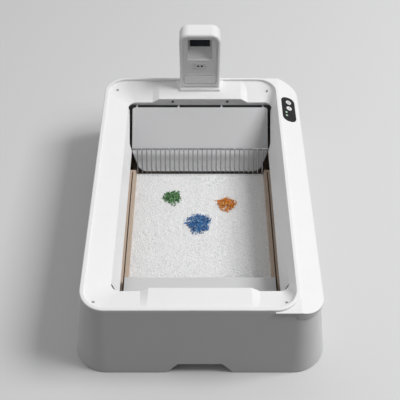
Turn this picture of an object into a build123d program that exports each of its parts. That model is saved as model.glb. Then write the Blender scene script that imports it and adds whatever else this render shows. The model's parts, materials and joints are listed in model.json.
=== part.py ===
from build123d import *
import math
import os

os.makedirs("parts", exist_ok=True)

# Self-cleaning litter box. An open-topped housing stands over a disposable cardboard tray of
# crystal litter. A belt-driven wire rake sweeps the litter, and a sprung flap covers the waste
# end of the tray. A sensor tower stands in a socket at the rear of the deck.
# Millimetres: +X to the right, +Y to the rear, +Z up, origin on the floor under the middle.

# Overall housing
base_width = 503.0
base_length = 717.0
body_height = 187.0
side_flare = 25.5
end_flare = 23.5
base_corner_r = 66.0
rim_corner_r = 49.0
shell_t = 3.5
foot_h = 1.5
foot_pad_w = 12.0
foot_pad_l = 60.0
foot_inset_y = 128.5
foot_inset_x = 121.5
foot_flange_w = 16.0
foot_flange_t = 3.0
seam_depth = 9.0
lip_h = 7.0
lip_t = 2.5
fit_gap = 0.3
notch_floor_half = 67.0
notch_top_half = 44.0
notch_h = 27.0
post_r = 6.0
post_inset = 36.5
post_end_inset = 63.5
post_top_drop = 39.0
rib_t = 2.5
screw_r = 1.5
screw_head_r = 3.0
screw_head_h = 2.5
screw_len = 18.0
inlet_r = 6.0
inlet_body_l = 12.0
inlet_bore_r = 2.75
inlet_bore_l = 9.0
inlet_pin_r = 1.0
inlet_pin_root = 0.6
inlet_inset = 101.5
inlet_z = 40.0

# Deck and opening
rim_w = 7.0
rim_edge_r = 2.4
deck_step = 5.0
deck_t = 3.2
deck_side = 10.0
shoulder_w = 38.0
shoulder_drop = 16.5
shoulder_lip = 5.5
shoulder_overhang = 4.8
opening_band = 61.0
opening_r = 18.0
opening_edge_drop = 26.0
centre_lift = 10.5
lift_side = 73.0
lift_ramp = 17.0
wall_lean = 12.0
wall_foot_rise = 8.0
wall_cut_rise = 9.0
rod_relief = 8.0
rod_relief_rise = 16.0
socket_r = 3.2
socket_depth = 8.0
socket_wall = 2.5
socket_side = 27.0
socket_end = 29.0
socket_shift_y = -5.0

# Waste flap, its hinge and flange
lid_angle = 35.0
lid_edge_rise = 5.0
lid_side = 9.0
lid_foot_side = 20.0
lid_taper = 48.0
lid_corner_r = 24.0
lid_top_r = 8.0
lid_head = 4.0
lid_t = 2.5
lid_rise = 8.0
lid_bead_w = 4.0
lid_bead_h = 2.0
lid_skirt = 4.0
hinge_inset = 6.6
hinge_drop = 17.9
pin_r = 2.0
pin_play = 0.08
knuckle_r = 4.5
ear_w = 4.0
ear_inner = 50.0
ear_side = 12.0
ear_gap = 0.4
spring_r = 3.8
spring_len = 6.5
flange_side = 2.0
flange_t = 2.5
flange_gap = 9.6
flange_above = 6.9
flange_screw_x = 65.5

# Rake
rod_r = 2.5
rod_above_rail = 26.0
rod_ahead = 27.0
wire_r = 1.3
tine_pitch = 10.9
tine_side = 2.5
tine_bend_r = 3.5
tip_ahead = 9.0
tip_gap = 2.5
shelf_stop = 5.0

# Rails, carriages and belt drive
rail_side = 13.0
rail_above_foot = 10.0
rail_r = 4.0
rail_play = 0.08
carriage_half_w = 7.5
carriage_half_l = 16.0
carriage_wall = 4.0
belt_side = 12.0
belt_w = 6.0
belt_t = 1.5
belt_play = 0.4
pulley_teeth = 20
belt_tooth_pitch = 3.0
pulley_r = 9.1
pulley_groove_w = 1.5
pulley_groove_h = 1.1
pulley_flange_r = 12.0
pulley_flange_t = 1.2
shaft_above_rod = 2.0
shaft_r = 4.0
shaft_play = 0.06
bush_r = 6.0
bush_w = 10.0
bush_side = 21.0
bearing_wall = 5.0
gear_teeth = 44
pinion_teeth = 16
gear_module = 1.0
gear_w = 8.0
gear_backlash = 0.35
pressure_angle = 20.0
tooth_root = 1.15
tooth_tip = 0.8
gear_side = 43.0
mesh_gap = 0.25
mesh_side = 6.0
motor_r = 14.0
motor_len = 62.0
motor_shaft_r = 2.5
motor_stub = 14.0
bracket_t = 3.0

# Bulkheads, guards and shelf
bulkhead_t = 3.0
bulkhead_behind = 8.0
bulkhead_clear = 4.0
bulkhead_drop = 7.0
guard_side = 2.0
guard_t = 2.0
guard_drop = 4.0
slot_half_h = 5.5
sensor_t = 1.8
sensor_l = 14.0
shelf_reach = 84.0
shelf_overlap = 41.0
shelf_side = 16.0
shelf_rise = 20.0
shelf_t = 3.0
shelf_lip = 6.0

# Tray, litter and crystals; each heap is given as x, distance ahead of the dam, and radius
tray_side = 3.0
tray_ahead = 19.0
tray_behind = 5.0
tray_h = 70.0
card_t = 1.5
outer_fold = 9.5
fold_gap = 2.5
inner_fold = 7.0
end_fold = 10.0
dam_ahead = 8.0
dam_t = 5.0
dam_drop = 2.0
litter_drop = 12.0
pile_h = 6.0
green_pile = (-63.5, 73.0, 22.0)
blue_pile = (-4.5, 151.0, 29.0)
orange_pile = (60.5, 93.0, 22.0)

# Control panel on the right shoulder
panel_side = 20.5
panel_end = 102.0
panel_w = 34.0
panel_l = 84.0
panel_r = 15.0
panel_t = 2.5
panel_proud = 0.4
panel_wall = 1.5
button_r = 6.8
button_rim = 1.0
button_rim_t = 1.2
button_proud = 0.6
button_travel = 1.2
button_x = 1.2
button_rear = 24.0
button_front = 3.2
light_x = -6.8
light_rear = -12.3
light_front = -23.5
light_r = 2.8
board_t = 1.6
board_drop = 9.0
switch_half = 3.0

# Sensor tower
tower_half = 47.5
tower_inset = 35.0
tower_depth = 44.0
tower_h = 152.0
tower_corner_r = 22.0
tower_edge_r = 5.0
tower_front_r = 5.0
tower_wall = 3.0
face_side = 7.5
face_foot_rise = 10.0
face_head_gap = 7.0
face_corner_r = 14.0
foot_groove_rise = 3.2
foot_groove_h = 2.0
face_inset = 1.0
face_t = 2.5
recess_side = 12.0
recess_head = 13.0
recess_rise = 16.3
recess_depth = 16.0
recess_wall = 2.0
window_side = 5.0
window_head = 2.0
window_h = 26.5
window_t = 2.0
eye_w = 32.0
eye_h = 17.0
eye_rise = 24.5
eye_proud = 0.8
eye_corner_r = 8.0
eye_lens_r = 2.7
eye_lens_x = 4.3
lamp_rise = 6.0
lamp_half = 31.0
lamp_h = 2.0
foot_plate_side = 4.0
foot_plate_h = 19.0
foot_plate_rise = 5.0
foot_plate_r = 1.6
tenon_half = 24.0
tenon_l = 18.0
tenon_depth = 12.0
collar_side = 10.0
collar_ahead = 4.0
collar_taper = 26.0
collar_edge = 3.0
collar_rise = 2.0


def half_width(z, inset=0.0):
    """Half width of the leaning side walls at height z."""
    return base_width / 2 - side_flare * z / body_height - inset


def half_length(z, inset=0.0):
    """Half length of the leaning end walls at height z."""
    return base_length / 2 - end_flare * z / body_height - inset


def corner(z, inset=0.0):
    """Corner radius of the walls at height z."""
    return base_corner_r + (rim_corner_r - base_corner_r) * z / body_height - inset


# Heights, from the rim down and from the tray up
seam_z = body_height - seam_depth
deck_z = body_height - deck_step
edge_z = body_height - opening_edge_drop
hinge_z = edge_z - hinge_drop
flange_z = foot_h + foot_flange_t
shoulder_low_z = deck_z - shoulder_drop
shoulder_foot_z = shoulder_low_z - shoulder_lip
post_split_z = body_height - post_top_drop
collar_top = deck_z + collar_rise
bulkhead_top = edge_z - bulkhead_drop
guard_top = bulkhead_top - guard_drop
wall_cut_z = hinge_z + wall_cut_rise
litter_top = tray_h - litter_drop
dam_h = litter_top - dam_drop
shelf_top = tray_h + shelf_rise
bulkhead_foot = tray_h + bulkhead_clear
rail_z = bulkhead_foot + rail_above_foot
rod_z = rail_z + rod_above_rail
tip_z = litter_top + pile_h + tip_gap
wall_foot_z = rod_z + wall_foot_rise
rod_relief_z = wall_foot_z + rod_relief_rise
shaft_z = rod_z + shaft_above_rod

# Widths, from the rim inwards to the opening and out again to the drive
rim_left = -half_width(body_height)
rim_right = half_width(body_height) - shoulder_w
shoulder_right = half_width(shoulder_foot_z) + shoulder_overhang
shoulder_run = shoulder_right - shell_t / 2 - rim_right
shoulder_angle = math.atan2(shoulder_drop, shoulder_run)
opening_half = rim_right - rim_w - deck_side
lift_half = opening_half - lift_side
wall_foot_half = opening_half - wall_lean
lid_half = opening_half - lid_side
lid_foot_half = lid_half - lid_foot_side
ear_outer = lid_half - ear_side
flange_half = opening_half - flange_side
guard_x = opening_half + guard_side
rail_x = guard_x + rail_side
belt_x = rail_x + belt_side
bush_x = belt_x - bush_side
gear_x = bush_x - gear_side
shelf_half = opening_half - shelf_side
tray_half = guard_x - tray_side
leaf_out = tray_half - outer_fold
leaf_in = leaf_out - fold_gap
bay_half = leaf_in - inner_fold
tine_pairs = int((2 * (bay_half - tine_side - wire_r) / tine_pitch + 1) / 2)
post_x = half_width(0) - post_inset
foot_end_x = half_width(0) - foot_inset_x
inlet_x = inlet_inset - half_width(0)
panel_x = rim_right + panel_side

# Stations along the housing, from the rim to the flap, the rake, the shelf and the drive
rim_half_l = half_length(body_height)
opening_y = rim_half_l - opening_band
hinge_y = opening_y - hinge_inset
lid_c = math.cos(math.radians(lid_angle))
lid_s = math.sin(math.radians(lid_angle))
lid_length = (hinge_z + lid_rise * lid_c - litter_top - lid_edge_rise) / lid_s
lid_edge_y = hinge_y - lid_length * lid_c - lid_rise * lid_s
rod_y = lid_edge_y + rod_ahead
tip_y = lid_edge_y - tip_ahead
dam_front = lid_edge_y - dam_ahead
shelf_y = shelf_reach - opening_y
front_bulkhead_y = shelf_y - shelf_overlap
tray_front = front_bulkhead_y - tray_ahead
rake_travel = tip_y - wire_r - shelf_y - shelf_stop
flange_y = hinge_y + flange_gap
rear_bulkhead_y = flange_y + bulkhead_behind
bulkhead_rear = rear_bulkhead_y + bulkhead_t
tray_rear = rear_bulkhead_y + tray_behind
foot_station = half_length(0) - foot_inset_y
post_station = half_length(0) - post_end_inset
tower_front = rim_half_l - tower_inset
panel_y = rim_half_l - panel_end
belt_in_r = pulley_r + belt_play
belt_out_r = belt_in_r + belt_t
belt_top_z = shaft_z + (belt_in_r + belt_out_r) / 2
pitch_r = pulley_teeth * belt_tooth_pitch / (2 * math.pi)
gear_r = gear_teeth * gear_module / 2
pinion_r = pinion_teeth * gear_module / 2
shaft_y = bulkhead_rear + gear_r + 2 * gear_module
mesh_distance = gear_r + pinion_r + mesh_gap
motor_y = shaft_y + mesh_side
motor_z = shaft_z - math.sqrt(mesh_distance**2 - mesh_side**2)
mesh_angle = math.degrees(math.atan2(motor_z - shaft_z, motor_y - shaft_y))
idler_y = rod_y - rake_travel - carriage_half_l - pulley_flange_r - 2 * belt_play - shaft_r
posts = [(sx * post_x, y) for sx in (-1, 1) for y in (-post_station, 0.0, post_station)]
far = base_length


def rounded_loft(lower, upper):
    """A block between two rounded rectangles, each given as x0, x1, y0, y1, radius, height."""
    with BuildPart() as form:
        for x0, x1, y0, y1, r, z in (lower, upper):
            with BuildSketch(Plane.XY.offset(z)):
                with Locations(((x0 + x1) / 2, (y0 + y1) / 2)):
                    RectangleRounded(x1 - x0, y1 - y0, r)
        loft(ruled=True)
    return form.part


def prism_yz(points, x0, x1):
    """A prism along X with an outline of (y, z) points."""
    with BuildPart() as form:
        with BuildSketch(Plane.YZ.offset(x0)):
            with BuildLine():
                Polyline(*points, close=True)
            make_face()
        extrude(amount=x1 - x0)
    return form.part


def prism_xz(points, y0, y1):
    """A prism along Y with an outline of (x, z) points."""
    with BuildPart() as form:
        with BuildSketch(Plane.XZ.offset(-y0)):
            with BuildLine():
                Polyline(*points, close=True)
            make_face()
        extrude(amount=y0 - y1)
    return form.part


def block(x0, x1, y0, y1, z0, z1, mode=Mode.ADD):
    """A plain box between two corners."""
    with Locations((x0, y0, z0)):
        Box(x1 - x0, y1 - y0, z1 - z0, align=(Align.MIN, Align.MIN, Align.MIN), mode=mode)


def bar(start, turn, r, length, mode=Mode.ADD):
    """A round bar from a start point, laid along an axis by a turn."""
    with Locations(Location(start, turn)):
        Cylinder(r, length, align=(Align.CENTER, Align.CENTER, Align.MIN), mode=mode)


def bar_x(x0, x1, y, z, r, mode=Mode.ADD):
    """A round bar along X."""
    bar((x0, y, z), (0, 90, 0), r, x1 - x0, mode)


def bar_y(x, y0, y1, z, r, mode=Mode.ADD):
    """A round bar along Y."""
    bar((x, y0, z), (-90, 0, 0), r, y1 - y0, mode)


def bar_z(x, y, z0, z1, r, mode=Mode.ADD):
    """A round bar along Z."""
    bar((x, y, z0), (0, 0, 0), r, z1 - z0, mode)


def save(part, name):
    """Label a finished piece and write its file."""
    part.label = name
    export_step(part, f"parts/{name}.step")


def wall_rect(z, inset=0.0):
    """The housing's wall outline at height z."""
    half = half_width(z, inset)
    length = half_length(z, inset)
    return (-half, half, -length, length, corner(z, inset), z)


def deck_rect(z):
    """The rim's inner outline, where the dished deck starts."""
    length = rim_half_l - rim_w
    return (rim_left + rim_w, rim_right - rim_w, -length, length, rim_corner_r - rim_w, z)


def opening_rect(z):
    """The opening's outline, where the dished deck ends."""
    return (-opening_half, opening_half, -opening_y, opening_y, opening_r, z)


# Base shell: four leaning walls, open above and below, with a foot flange all round
with BuildPart() as post_ribs:
    for x, y in posts:
        side = math.copysign(1, x)
        x0, x1 = sorted((x + side * (screw_head_r + 1), side * base_width / 2))
        block(x0, x1, y - rib_t / 2, y + rib_t / 2, foot_h, post_split_z - post_r)
    rib_clip = rounded_loft(wall_rect(foot_h, shell_t / 2), wall_rect(seam_z, shell_t / 2))
    add(rib_clip, mode=Mode.INTERSECT)

notch_outline = [
    (-notch_floor_half, 0.0),
    (notch_floor_half, 0.0),
    (notch_top_half, notch_h),
    (-notch_top_half, notch_h),
]
notch_cut = prism_xz(notch_outline, -base_length, -half_length(0, shell_t + foot_flange_w + 1))

with BuildPart() as base_shell:
    add(rounded_loft(wall_rect(foot_h), wall_rect(seam_z)))
    wall_top = wall_rect(seam_z + 1, shell_t)
    add(rounded_loft(wall_rect(flange_z, shell_t), wall_top), mode=Mode.SUBTRACT)
    foot_hole = shell_t + foot_flange_w
    add(rounded_loft(wall_rect(0, foot_hole), wall_rect(flange_z + 1, foot_hole)), mode=Mode.SUBTRACT)
    block(rim_right - rim_w, far, -far, far, shoulder_foot_z, far, Mode.SUBTRACT)
    add(notch_cut, mode=Mode.SUBTRACT)
    add(post_ribs.part)
    for x, y in posts:
        bar_z(x, y, foot_h, post_split_z - fit_gap, post_r)
    for x, y in posts:
        bar_z(x, y, 0, post_split_z, screw_r + fit_gap, Mode.SUBTRACT)
        bar_z(x, y, 0, post_split_z - post_r, screw_head_r + fit_gap, Mode.SUBTRACT)
    wall_y = half_length(inlet_z)
    bar_y(inlet_x, wall_y - inlet_body_l, wall_y + inlet_r, inlet_z, inlet_r + fit_gap, Mode.SUBTRACT)
save(base_shell.part, "base_shell")

# Rubber feet: flat pads under the foot flange
with BuildPart() as rubber_feet:
    flange_mid = shell_t + foot_flange_w / 2
    with Locations(
        *[(sx * half_width(0, flange_mid), y, 0) for sx in (-1, 1) for y in (-foot_station, 0, foot_station)]
    ):
        Box(foot_pad_w, foot_pad_l, foot_h, align=(Align.CENTER, Align.CENTER, Align.MIN))
    with Locations(
        *[(x, sy * half_length(0, flange_mid), 0) for x in (-foot_end_x, foot_end_x) for sy in (-1, 1)]
    ):
        Box(foot_pad_l, foot_pad_w, foot_h, align=(Align.CENTER, Align.CENTER, Align.MIN))
save(rubber_feet.part, "rubber_feet")

# Barrel inlet for the low-voltage lead, through the rear wall
with BuildPart() as power_inlet:
    bar_y(inlet_x, wall_y - inlet_body_l, wall_y + fit_gap, inlet_z, inlet_r)
    bar_y(inlet_x, wall_y - inlet_bore_l, wall_y + 1, inlet_z, inlet_bore_r, Mode.SUBTRACT)
    bar_y(inlet_x, wall_y - inlet_bore_l - inlet_pin_root, wall_y - 1, inlet_z, inlet_pin_r)
save(power_inlet.part, "power_inlet")


# Top cover: rim bead, dished deck, right shoulder and the steep walls inside the opening
def lift_wedge(side, drop):
    """The raised middle of one end band, moved down by drop for its underside."""
    with BuildPart() as form:
        stations = (
            (opening_y - 1, edge_z + centre_lift, edge_z - 1),
            (rim_half_l - rim_w, deck_z, deck_z - 1),
        )
        for y, top, tip in stations:
            with BuildSketch(Plane.XZ.offset(-side * y)):
                with BuildLine():
                    Polyline(
                        (-lift_half - lift_ramp, tip - drop),
                        (-lift_half, top - drop),
                        (lift_half, top - drop),
                        (lift_half + lift_ramp, tip - drop),
                        close=True,
                    )
                make_face()
        loft(ruled=True)
    return form.part


def deck_void(drop):
    """The dished space above the deck, moved down by drop for the deck's underside."""
    rim_outline = deck_rect(deck_z - drop)
    with BuildPart() as form:
        add(rounded_loft(opening_rect(edge_z - drop), rim_outline))
        for side in (-1, 1):
            add(lift_wedge(side, drop), mode=Mode.SUBTRACT)
        add(rounded_loft(rim_outline, deck_rect(far)))
    return form.part


def shoulder_z(x):
    """Height of the shoulder's upper face at x: level up to the rim, then sloping down."""
    return deck_z - shoulder_drop * max(0.0, x - rim_right) / shoulder_run


deck_space = deck_void(0.0)


def deck_height(x, y):
    """Height of the deck's upper face at a place inside the rim."""
    upright = Axis((x, y, 0), (0, 0, 1))
    return min(point.Z for point, normal in deck_space.find_intersection_points(upright))


bead_low = (-half_width(seam_z), rim_right, -half_length(seam_z), half_length(seam_z), corner(seam_z), seam_z)
bead_top = (rim_left, rim_right, -rim_half_l, rim_half_l, rim_corner_r, body_height)
with BuildPart() as bead:
    add(rounded_loft(bead_low, bead_top))
    fillet(bead.faces().sort_by(Axis.Z)[-1].edges(), rim_edge_r)
    add(rounded_loft(deck_rect(seam_z - 1), deck_rect(body_height + 1)), mode=Mode.SUBTRACT)

shoulder_in = rim_right - rim_w + fit_gap
lip_x = shoulder_right - shell_t / 2
shoulder_outline = [
    (shoulder_in, shoulder_foot_z),
    (shoulder_in, seam_z),
    (rim_right - rim_corner_r, seam_z),
    (rim_right - rim_corner_r, deck_z),
    (rim_right, deck_z),
    (lip_x, shoulder_low_z),
    (shoulder_right, shoulder_low_z - shell_t / 2),
    (shoulder_right, shoulder_foot_z),
]
shoulder_skin = shell_t / math.cos(shoulder_angle)
void_x = shoulder_right - shell_t
shoulder_void_outline = [
    (shoulder_in + shell_t, 0.0),
    (shoulder_in + shell_t, deck_z - shoulder_skin),
    (rim_right, deck_z - shoulder_skin),
    (void_x, shoulder_z(void_x) - shoulder_skin),
    (void_x, 0.0),
]


def shoulder_clip(inset):
    """The shoulder's plan, with the housing's own rounded corners."""
    length = half_length(shoulder_foot_z, inset)
    plan = (rim_left, shoulder_right - inset, -length, length, corner(shoulder_foot_z, inset))
    return rounded_loft(plan + (0.0,), plan + (body_height,))


with BuildPart() as shoulder:
    add(prism_xz(shoulder_outline, -far, far))
    add(shoulder_clip(0.0), mode=Mode.INTERSECT)
with BuildPart() as shoulder_void:
    add(prism_xz(shoulder_void_outline, -far, far))
    add(shoulder_clip(shell_t), mode=Mode.INTERSECT)

with BuildPart() as deck_sheet:
    add(deck_void(deck_t))
    add(deck_space, mode=Mode.SUBTRACT)
    add(rounded_loft(opening_rect(0), opening_rect(far)), mode=Mode.SUBTRACT)

wall_y0 = opening_r - opening_y
wall_y1 = opening_y - opening_r
with BuildPart() as side_walls:
    for side in (-1, 1):
        wall_outline = [
            (side * opening_half, edge_z),
            (side * wall_foot_half, wall_foot_z),
            (side * (wall_foot_half + deck_t), wall_foot_z),
            (side * (opening_half + deck_t), edge_z),
        ]
        add(prism_xz(wall_outline, wall_y0, wall_y1))
    wall_cut = [
        (rod_y - 2 * rod_relief, wall_foot_z - 1),
        (rod_y - rod_relief, rod_relief_z),
        (wall_y1 + 1, wall_cut_z),
        (wall_y1 + 1, wall_foot_z - 1),
    ]
    add(prism_yz(wall_cut, -far, far), mode=Mode.SUBTRACT)

with BuildPart() as locating_lip:
    lip_in = shell_t + fit_gap
    lip_out = lip_in + lip_t
    add(rounded_loft(wall_rect(seam_z - lip_h, lip_in), wall_rect(seam_z, lip_in)))
    lip_core = rounded_loft(wall_rect(seam_z - lip_h - 1, lip_out), wall_rect(seam_z + 1, lip_out))
    add(lip_core, mode=Mode.SUBTRACT)
    block(shoulder_in - shell_t, far, -far, far, 0, far, Mode.SUBTRACT)

socket_x = (rim_left + rim_right) / 2
socket_half_x = (rim_right - rim_left) / 2 - socket_side
socket_half_y = rim_half_l - socket_end
sockets = [
    (socket_x + sx * socket_half_x, socket_shift_y + sy * socket_half_y)
    for sx in (-1, 1)
    for sy in (-1, 1)
]
collar_front = tower_front - collar_ahead
collar_half = tower_half + collar_side
collar_back = rim_half_l - rim_w / 2
collar_outline = [
    (-collar_half, collar_back),
    (-collar_half, collar_front + collar_taper),
    (-tower_half, collar_front),
    (tower_half, collar_front),
    (collar_half, collar_front + collar_taper),
    (collar_half, collar_back),
]
tenon_y = tower_front + tenon_l
tenon_foot = collar_top - tenon_depth
boss_y = flange_y + flange_t + fit_gap
panel_plane = Plane(
    origin=(panel_x, panel_y, shoulder_z(panel_x)),
    x_dir=(math.cos(shoulder_angle), 0, -math.sin(shoulder_angle)),
    z_dir=(math.sin(shoulder_angle), 0, math.cos(shoulder_angle)),
)

with BuildPart() as collar:
    with BuildSketch(Plane.XY.offset(tenon_foot)):
        with BuildLine():
            Polyline(*collar_outline, close=True)
        make_face()
    extrude(amount=tenon_depth)
    upper_edges = collar.faces().sort_by(Axis.Z)[-1].edges()
    chamfer(upper_edges.sort_by(Axis.Y)[:3], collar_edge)

with BuildPart() as panel_hole:
    with BuildSketch(panel_plane.offset(-2 * shell_t)):
        RectangleRounded(panel_w + 2 * fit_gap, panel_l + 2 * fit_gap, panel_r + fit_gap)
    extrude(amount=4 * shell_t)

with BuildPart() as top_cover:
    add(bead.part)
    add(shoulder.part)
    add(shoulder_void.part, mode=Mode.SUBTRACT)
    add(locating_lip.part)
    for x, y in sockets:
        level = deck_height(x, y)
        bar_z(x, y, level - socket_depth - socket_wall, level, socket_r + socket_wall)
    for x, y in posts:
        level = shoulder_z(x) if x > rim_right else deck_height(x, y)
        bar_z(x, y, post_split_z, level - deck_t / 2, post_r - 1)
    for side in (-1, 1):
        boss_x = side * flange_screw_x
        block(boss_x - post_r, boss_x + post_r, boss_y, boss_y + 2 * post_r,
              edge_z - deck_t, edge_z + centre_lift)
    add(rounded_loft(deck_rect(deck_z), deck_rect(collar_top + 1)), mode=Mode.SUBTRACT)
    add(deck_space, mode=Mode.SUBTRACT)
    add(deck_sheet.part)
    add(side_walls.part)
    add(collar.part)
    block(-tower_half - fit_gap, tower_half + fit_gap, tower_front - fit_gap, far,
          collar_top, far, Mode.SUBTRACT)
    block(-tenon_half - fit_gap, tenon_half + fit_gap,
          tenon_y - tenon_l / 2 - fit_gap, tenon_y + tenon_l / 2 + fit_gap,
          0, far, Mode.SUBTRACT)
    for x, y in sockets:
        bar_z(x, y, deck_height(x, y) - socket_depth, far, socket_r, Mode.SUBTRACT)
    for x, y in posts:
        bar_z(x, y, 0, post_split_z + screw_len - post_r + 1, screw_r + shaft_play, Mode.SUBTRACT)
    for side in (-1, 1):
        bar_y(side * flange_screw_x, boss_y - 1, boss_y + 1.5 * post_r, edge_z, screw_r + shaft_play,
              Mode.SUBTRACT)
    add(panel_hole.part, mode=Mode.SUBTRACT)
save(top_cover.part, "top_cover")

with BuildPart() as cover_screws:
    for x, y in posts:
        head_z = post_split_z - post_r - screw_head_h
        bar_z(x, y, head_z, head_z + screw_head_h, screw_head_r)
        bar_z(x, y, head_z, head_z + screw_len, screw_r)
save(cover_screws.part, "cover_screws")

# Rear flange under the deck's rear edge: a plate with ears for the flap's hinge pin
flange_top = edge_z - deck_t - fit_gap
flange_foot = hinge_z + flange_above
lift_top = flange_top + centre_lift * (1 - flange_gap / opening_band) - fit_gap
flange_outline = [
    (-flange_half, flange_foot),
    (flange_half, flange_foot),
    (flange_half, flange_top),
    (lift_half + lift_ramp, flange_top),
    (lift_half, lift_top),
    (-lift_half, lift_top),
    (-lift_half - lift_ramp, flange_top),
    (-flange_half, flange_top),
]
ear_starts = [-ear_outer - ear_w, -ear_inner - ear_w, ear_inner, ear_outer]
with BuildPart() as rear_flange:
    add(prism_xz(flange_outline, flange_y, flange_y + flange_t))
    for x in ear_starts:
        block(x, x + ear_w, hinge_y, flange_y, hinge_z - knuckle_r + 1, hinge_z + knuckle_r - 1)
        block(x, x + ear_w, flange_y, flange_y + flange_t, hinge_z - knuckle_r + 1, flange_foot + 1)
        bar_x(x, x + ear_w, hinge_y, hinge_z, knuckle_r)
        bar_x(x - 1, x + ear_w + 1, hinge_y, hinge_z, pin_r + pin_play / 4, Mode.SUBTRACT)
    for side in (-1, 1):
        bar_y(side * flange_screw_x, flange_y - 1, boss_y, edge_z, screw_r + fit_gap, Mode.SUBTRACT)
save(rear_flange.part, "rear_flange")

with BuildPart() as flange_screws:
    for side in (-1, 1):
        x = side * flange_screw_x
        bar_y(x, flange_y - screw_head_h / 2, flange_y, edge_z, screw_head_r)
        bar_y(x, flange_y - screw_head_h / 2, boss_y + post_r, edge_z, screw_r)
save(flange_screws.part, "flange_screws")

pin_end = ear_outer + ear_w + spring_len + 2 * ear_gap
with BuildPart() as hinge_pin:
    bar_x(-pin_end, pin_end, hinge_y, hinge_z, pin_r)
save(hinge_pin.part, "hinge_pin")

spring_x = ear_outer + ear_w + ear_gap
with BuildPart() as flap_springs:
    for x in (spring_x, -spring_x - spring_len):
        bar_x(x, x + spring_len, hinge_y, hinge_z, spring_r)
        bar_x(x - 1, x + spring_len + 1, hinge_y, hinge_z, pin_r + pin_play, Mode.SUBTRACT)
save(flap_springs.part, "flap_springs")

# Waste flap, drawn in its own sloping plane with its hinge line at the plane's origin
flap_plane = Plane(origin=(0, hinge_y, hinge_z), x_dir=(1, 0, 0), z_dir=(0, -lid_s, lid_c))


def flap_outline(inset, head):
    """The flap's outline in its own plane, drawn in by inset, up to head past the hinge."""
    with BuildSketch() as outline:
        with BuildLine():
            Polyline(
                (-lid_half + inset, head),
                (lid_half - inset, head),
                (lid_half - inset, -lid_length + lid_taper),
                (lid_foot_half - inset, -lid_length + inset),
                (-lid_foot_half + inset, -lid_length + inset),
                (-lid_half + inset, -lid_length + lid_taper),
                close=True,
            )
        make_face()
        fillet(outline.vertices().group_by(Axis.Y)[0], lid_corner_r - inset)
        fillet(outline.vertices().group_by(Axis.Y)[-2], lid_corner_r - inset)
        fillet(outline.vertices().group_by(Axis.Y)[-1], lid_top_r - inset)
    return outline.sketch


def flap_layer(inset, head, low, high):
    """A flat layer of the flap's outline between two levels of its plane."""
    with BuildPart() as layer:
        with BuildSketch(flap_plane.offset(low)):
            add(flap_outline(inset, head))
        extrude(amount=high - low)
    return layer.part


with BuildPart() as trap_flap:
    add(flap_layer(0.0, lid_head, lid_rise - lid_t - lid_skirt, lid_rise + lid_bead_h))
    rim_cut = flap_layer(lid_bead_w, 3 * knuckle_r, lid_rise, lid_rise + lid_bead_h + 1)
    add(rim_cut, mode=Mode.SUBTRACT)
    under_cut = flap_layer(lid_t, 3 * knuckle_r, -knuckle_r, lid_rise - lid_t)
    add(under_cut, mode=Mode.SUBTRACT)
    bar_x(-ear_outer, ear_outer, hinge_y, hinge_z, knuckle_r)
    with Locations(flap_plane):
        Box(2 * ear_outer, 2 * pin_r, lid_rise - lid_t / 2, align=(Align.CENTER, Align.CENTER, Align.MIN))
        for x in ear_starts:
            reach = lid_half if abs(x + ear_w / 2) > ear_outer else 0.0
            x0 = min(x, math.copysign(reach, x) if reach else x) - ear_gap
            x1 = max(x + ear_w, math.copysign(reach, x) if reach else x) + ear_gap
            with Locations((x0, -knuckle_r - 2 * ear_gap, -2 * knuckle_r)):
                Box(x1 - x0, 4 * knuckle_r, 2 * knuckle_r + lid_rise - lid_t,
                    align=(Align.MIN, Align.MIN, Align.MIN), mode=Mode.SUBTRACT)
    bar_x(-far, far, hinge_y, hinge_z, pin_r + pin_play, Mode.SUBTRACT)
save(trap_flap.part, "trap_flap")

# Rake: a cross rod carried by two carriages, with wire staples hung over it as tines
rod_end = rail_x + carriage_half_w - 1
with BuildPart() as rake_rod:
    bar_x(-rod_end, rod_end, rod_y, rod_z, rod_r)
save(rake_rod.part, "rake_rod")

tip_reach = math.hypot(rod_y - tip_y, rod_z - tip_z)
tine_offset = rod_r + wire_r + shaft_play
tine_lean = math.atan2(rod_z - tip_z, rod_y - tip_y) + math.asin(tine_offset / tip_reach)
tine_len = math.sqrt(tip_reach**2 - tine_offset**2)
tine_plane = Plane(
    origin=(0, tip_y + tine_len * math.cos(tine_lean), tip_z + tine_len * math.sin(tine_lean)),
    x_dir=(1, 0, 0),
    z_dir=(0, -math.sin(tine_lean), math.cos(tine_lean)),
)
with BuildPart() as rake_tines:
    for number in range(tine_pairs):
        x = (number - (tine_pairs - 1) / 2) * 2 * tine_pitch
        with BuildLine(tine_plane) as staple:
            FilletPolyline(
                (x - tine_pitch / 2, -tine_len),
                (x - tine_pitch / 2, wire_r),
                (x + tine_pitch / 2, wire_r),
                (x + tine_pitch / 2, -tine_len),
                radius=tine_bend_r,
            )
        with BuildSketch(Plane(origin=staple.line @ 0, z_dir=staple.line % 0)):
            Circle(wire_r)
        sweep()
save(rake_tines.part, "rake_tines")

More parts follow.
